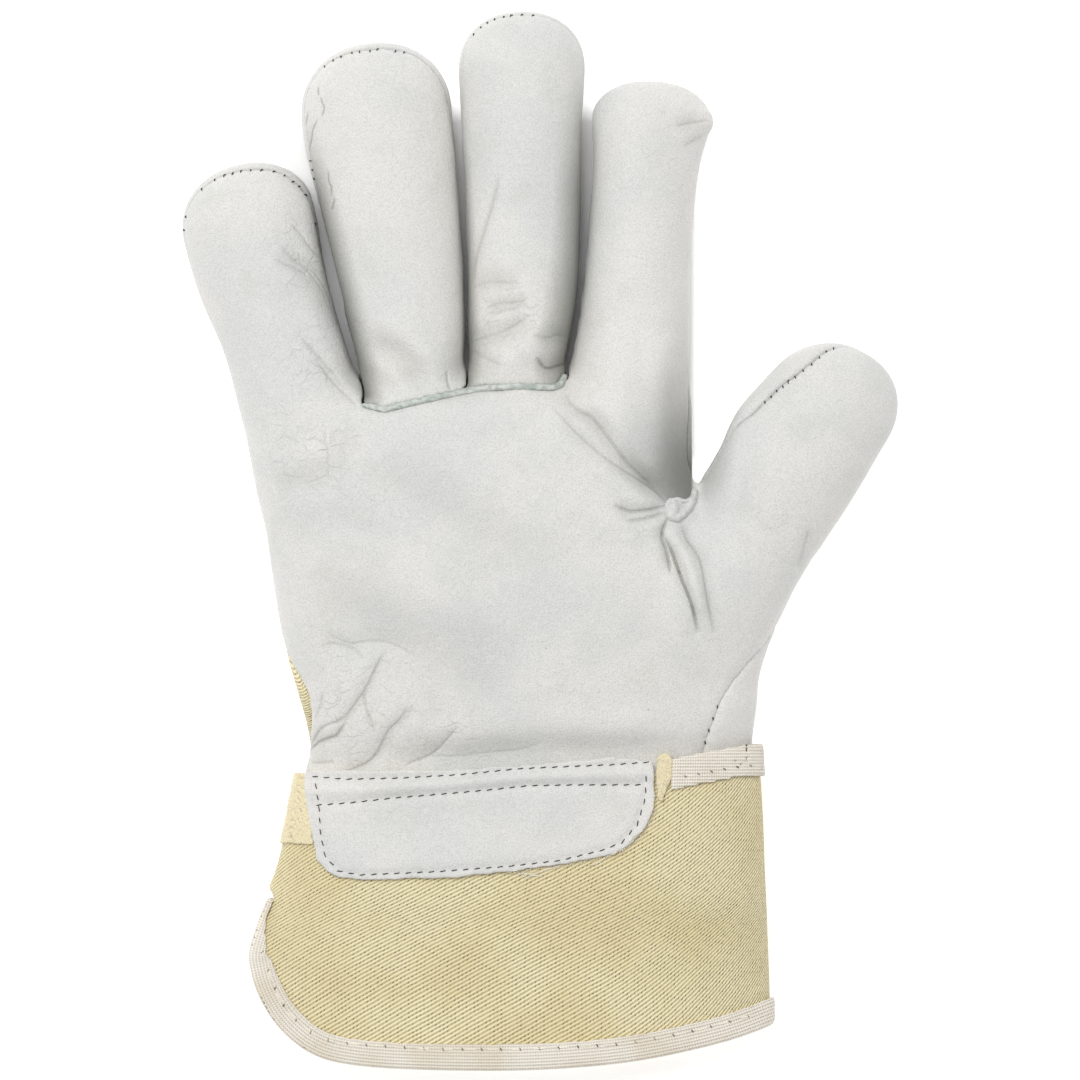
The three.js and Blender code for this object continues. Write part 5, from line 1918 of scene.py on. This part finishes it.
def dress():
    finishes = {
        "grain_leather": leather_finish(),
        "twill_canvas": twill_finish(),
        "woven_tape": tape_finish(),
        "grey_welt": welt_finish(),
        "brushed_lining": lining_finish(),
    }
    dark = thread_finish("dark_thread", (34, 34, 36), (70, 70, 70))
    brown = thread_finish("brown_thread", (74, 68, 58), (160, 150, 130), 1.6)
    pale = thread_finish("pale_thread", (236, 228, 208), (250, 246, 234))
    wanted = {part["node"]: part["material_slot"] for part in frame["record"]["subparts"]}
    for node, piece in pieces.items():
        piece.data.materials.append(finishes[wanted[node]])
        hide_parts(node)
        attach(piece, "root")
    for threads, finish in ((dark_threads, dark), (brown_threads, brown), (pale_threads, pale)):
        for piece in threads.values():
            piece.data.materials.append(finish)
            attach(piece, "root")
    print("dressed", len(pieces), "pieces")


dress()

# %% [markdown]
# ## Floor and light
# A pale floor and one large soft light nearly overhead, a little to the upper left, as in a
# product photograph. The world fills the shadows with the same white, so hide that turns away
# from the light goes grey but never black. The sheet also glows by itself: painted light that
# whitens the glove's shadows on it round the glove, but not between the fingers, where the
# sheet is left in shadow.

# %% Floor, light and world
KEY_SPOT = (-0.5, 0.8, 2.45)
KEY_POWER = 42.0
KEY_SIZE = 1.3
WORLD_STRENGTH = 0.49
FLOOR_REACH = 6000
FLOOR_GLOW = 0.5
GLOW_REACH = 900
# sides of the place between the fingers where the sheet gets no painted glow, each with half the width that
# it fades over
DARK_LEFT, DARK_RIGHT = (-65, 1), (39.2, 1)
DARK_LOWER, DARK_UPPER = (20, 2), (109.5, 2.5)


def floor_lines(*sides):
    """Places of the sheet's grid lines along one axis."""
    edges = [side + step for side, half in sides for step in (-half, half)]
    return [-FLOOR_REACH, -GLOW_REACH, *edges, GLOW_REACH, FLOOR_REACH]


def floor_glow(x, y):
    """The sheet's own glow: painted light that whitens shadows round the glove, not between the fingers."""
    near = max(abs(x), abs(y)) <= GLOW_REACH
    between_fingers = DARK_LEFT[0] < x < DARK_RIGHT[0] and DARK_LOWER[0] < y < DARK_UPPER[0]
    return FLOOR_GLOW * (near and not between_fingers)


def light_stage():
    lines_x = floor_lines(DARK_LEFT, DARK_RIGHT)
    lines_y = floor_lines(DARK_LOWER, DARK_UPPER)
    corners = [(x, y, 0) for x in lines_x for y in lines_y]
    rows = len(lines_y)
    squares = [(a, a + rows, a + rows + 1, a + 1) for k in range(len(lines_x) - 1)
               for a in range(k * rows, (k + 1) * rows - 1)]
    floor = mesh_object("floor", corners, squares)
    store(floor, "glow", [floor_glow(x, y) for x, y, _ in corners])
    # the sheet's emission is painted light, masked by the glow measure
    paper = Finish("pale_floor", specular_ior_level=0.1, emission_strength=1.0)
    glow = paper.mix(paper.measure("glow"), (0, 0, 0, 1), (1, 1, 1, 1))
    paper.paint(base_color=ink(249, 249, 249), roughness=0.9, emission_color=glow)
    floor.data.materials.append(paper.material)
    data = bpy.data.lights.new("key", "AREA")
    data.energy = KEY_POWER
    data.size = KEY_SIZE
    key = bpy.data.objects.new("key", data)
    key.location = KEY_SPOT
    key.rotation_euler = (-Vector(KEY_SPOT)).to_track_quat("-Z", "Y").to_euler()
    bpy.context.scene.collection.objects.link(key)
    world = bpy.data.worlds.new("studio")
    world.use_nodes = True
    world.node_tree.nodes["Background"].inputs["Strength"].default_value = WORLD_STRENGTH
    world.node_tree.nodes["Background"].inputs["Color"].default_value = (1, 1, 1, 1)
    bpy.context.scene.world = world
    bpy.context.scene.view_settings.view_transform = "Standard"


light_stage()

# %% [markdown]
# ## Last cell
# The dressed glove has to fill the same box as its solids. This cell only loads the json module.

# %% Finish
import json
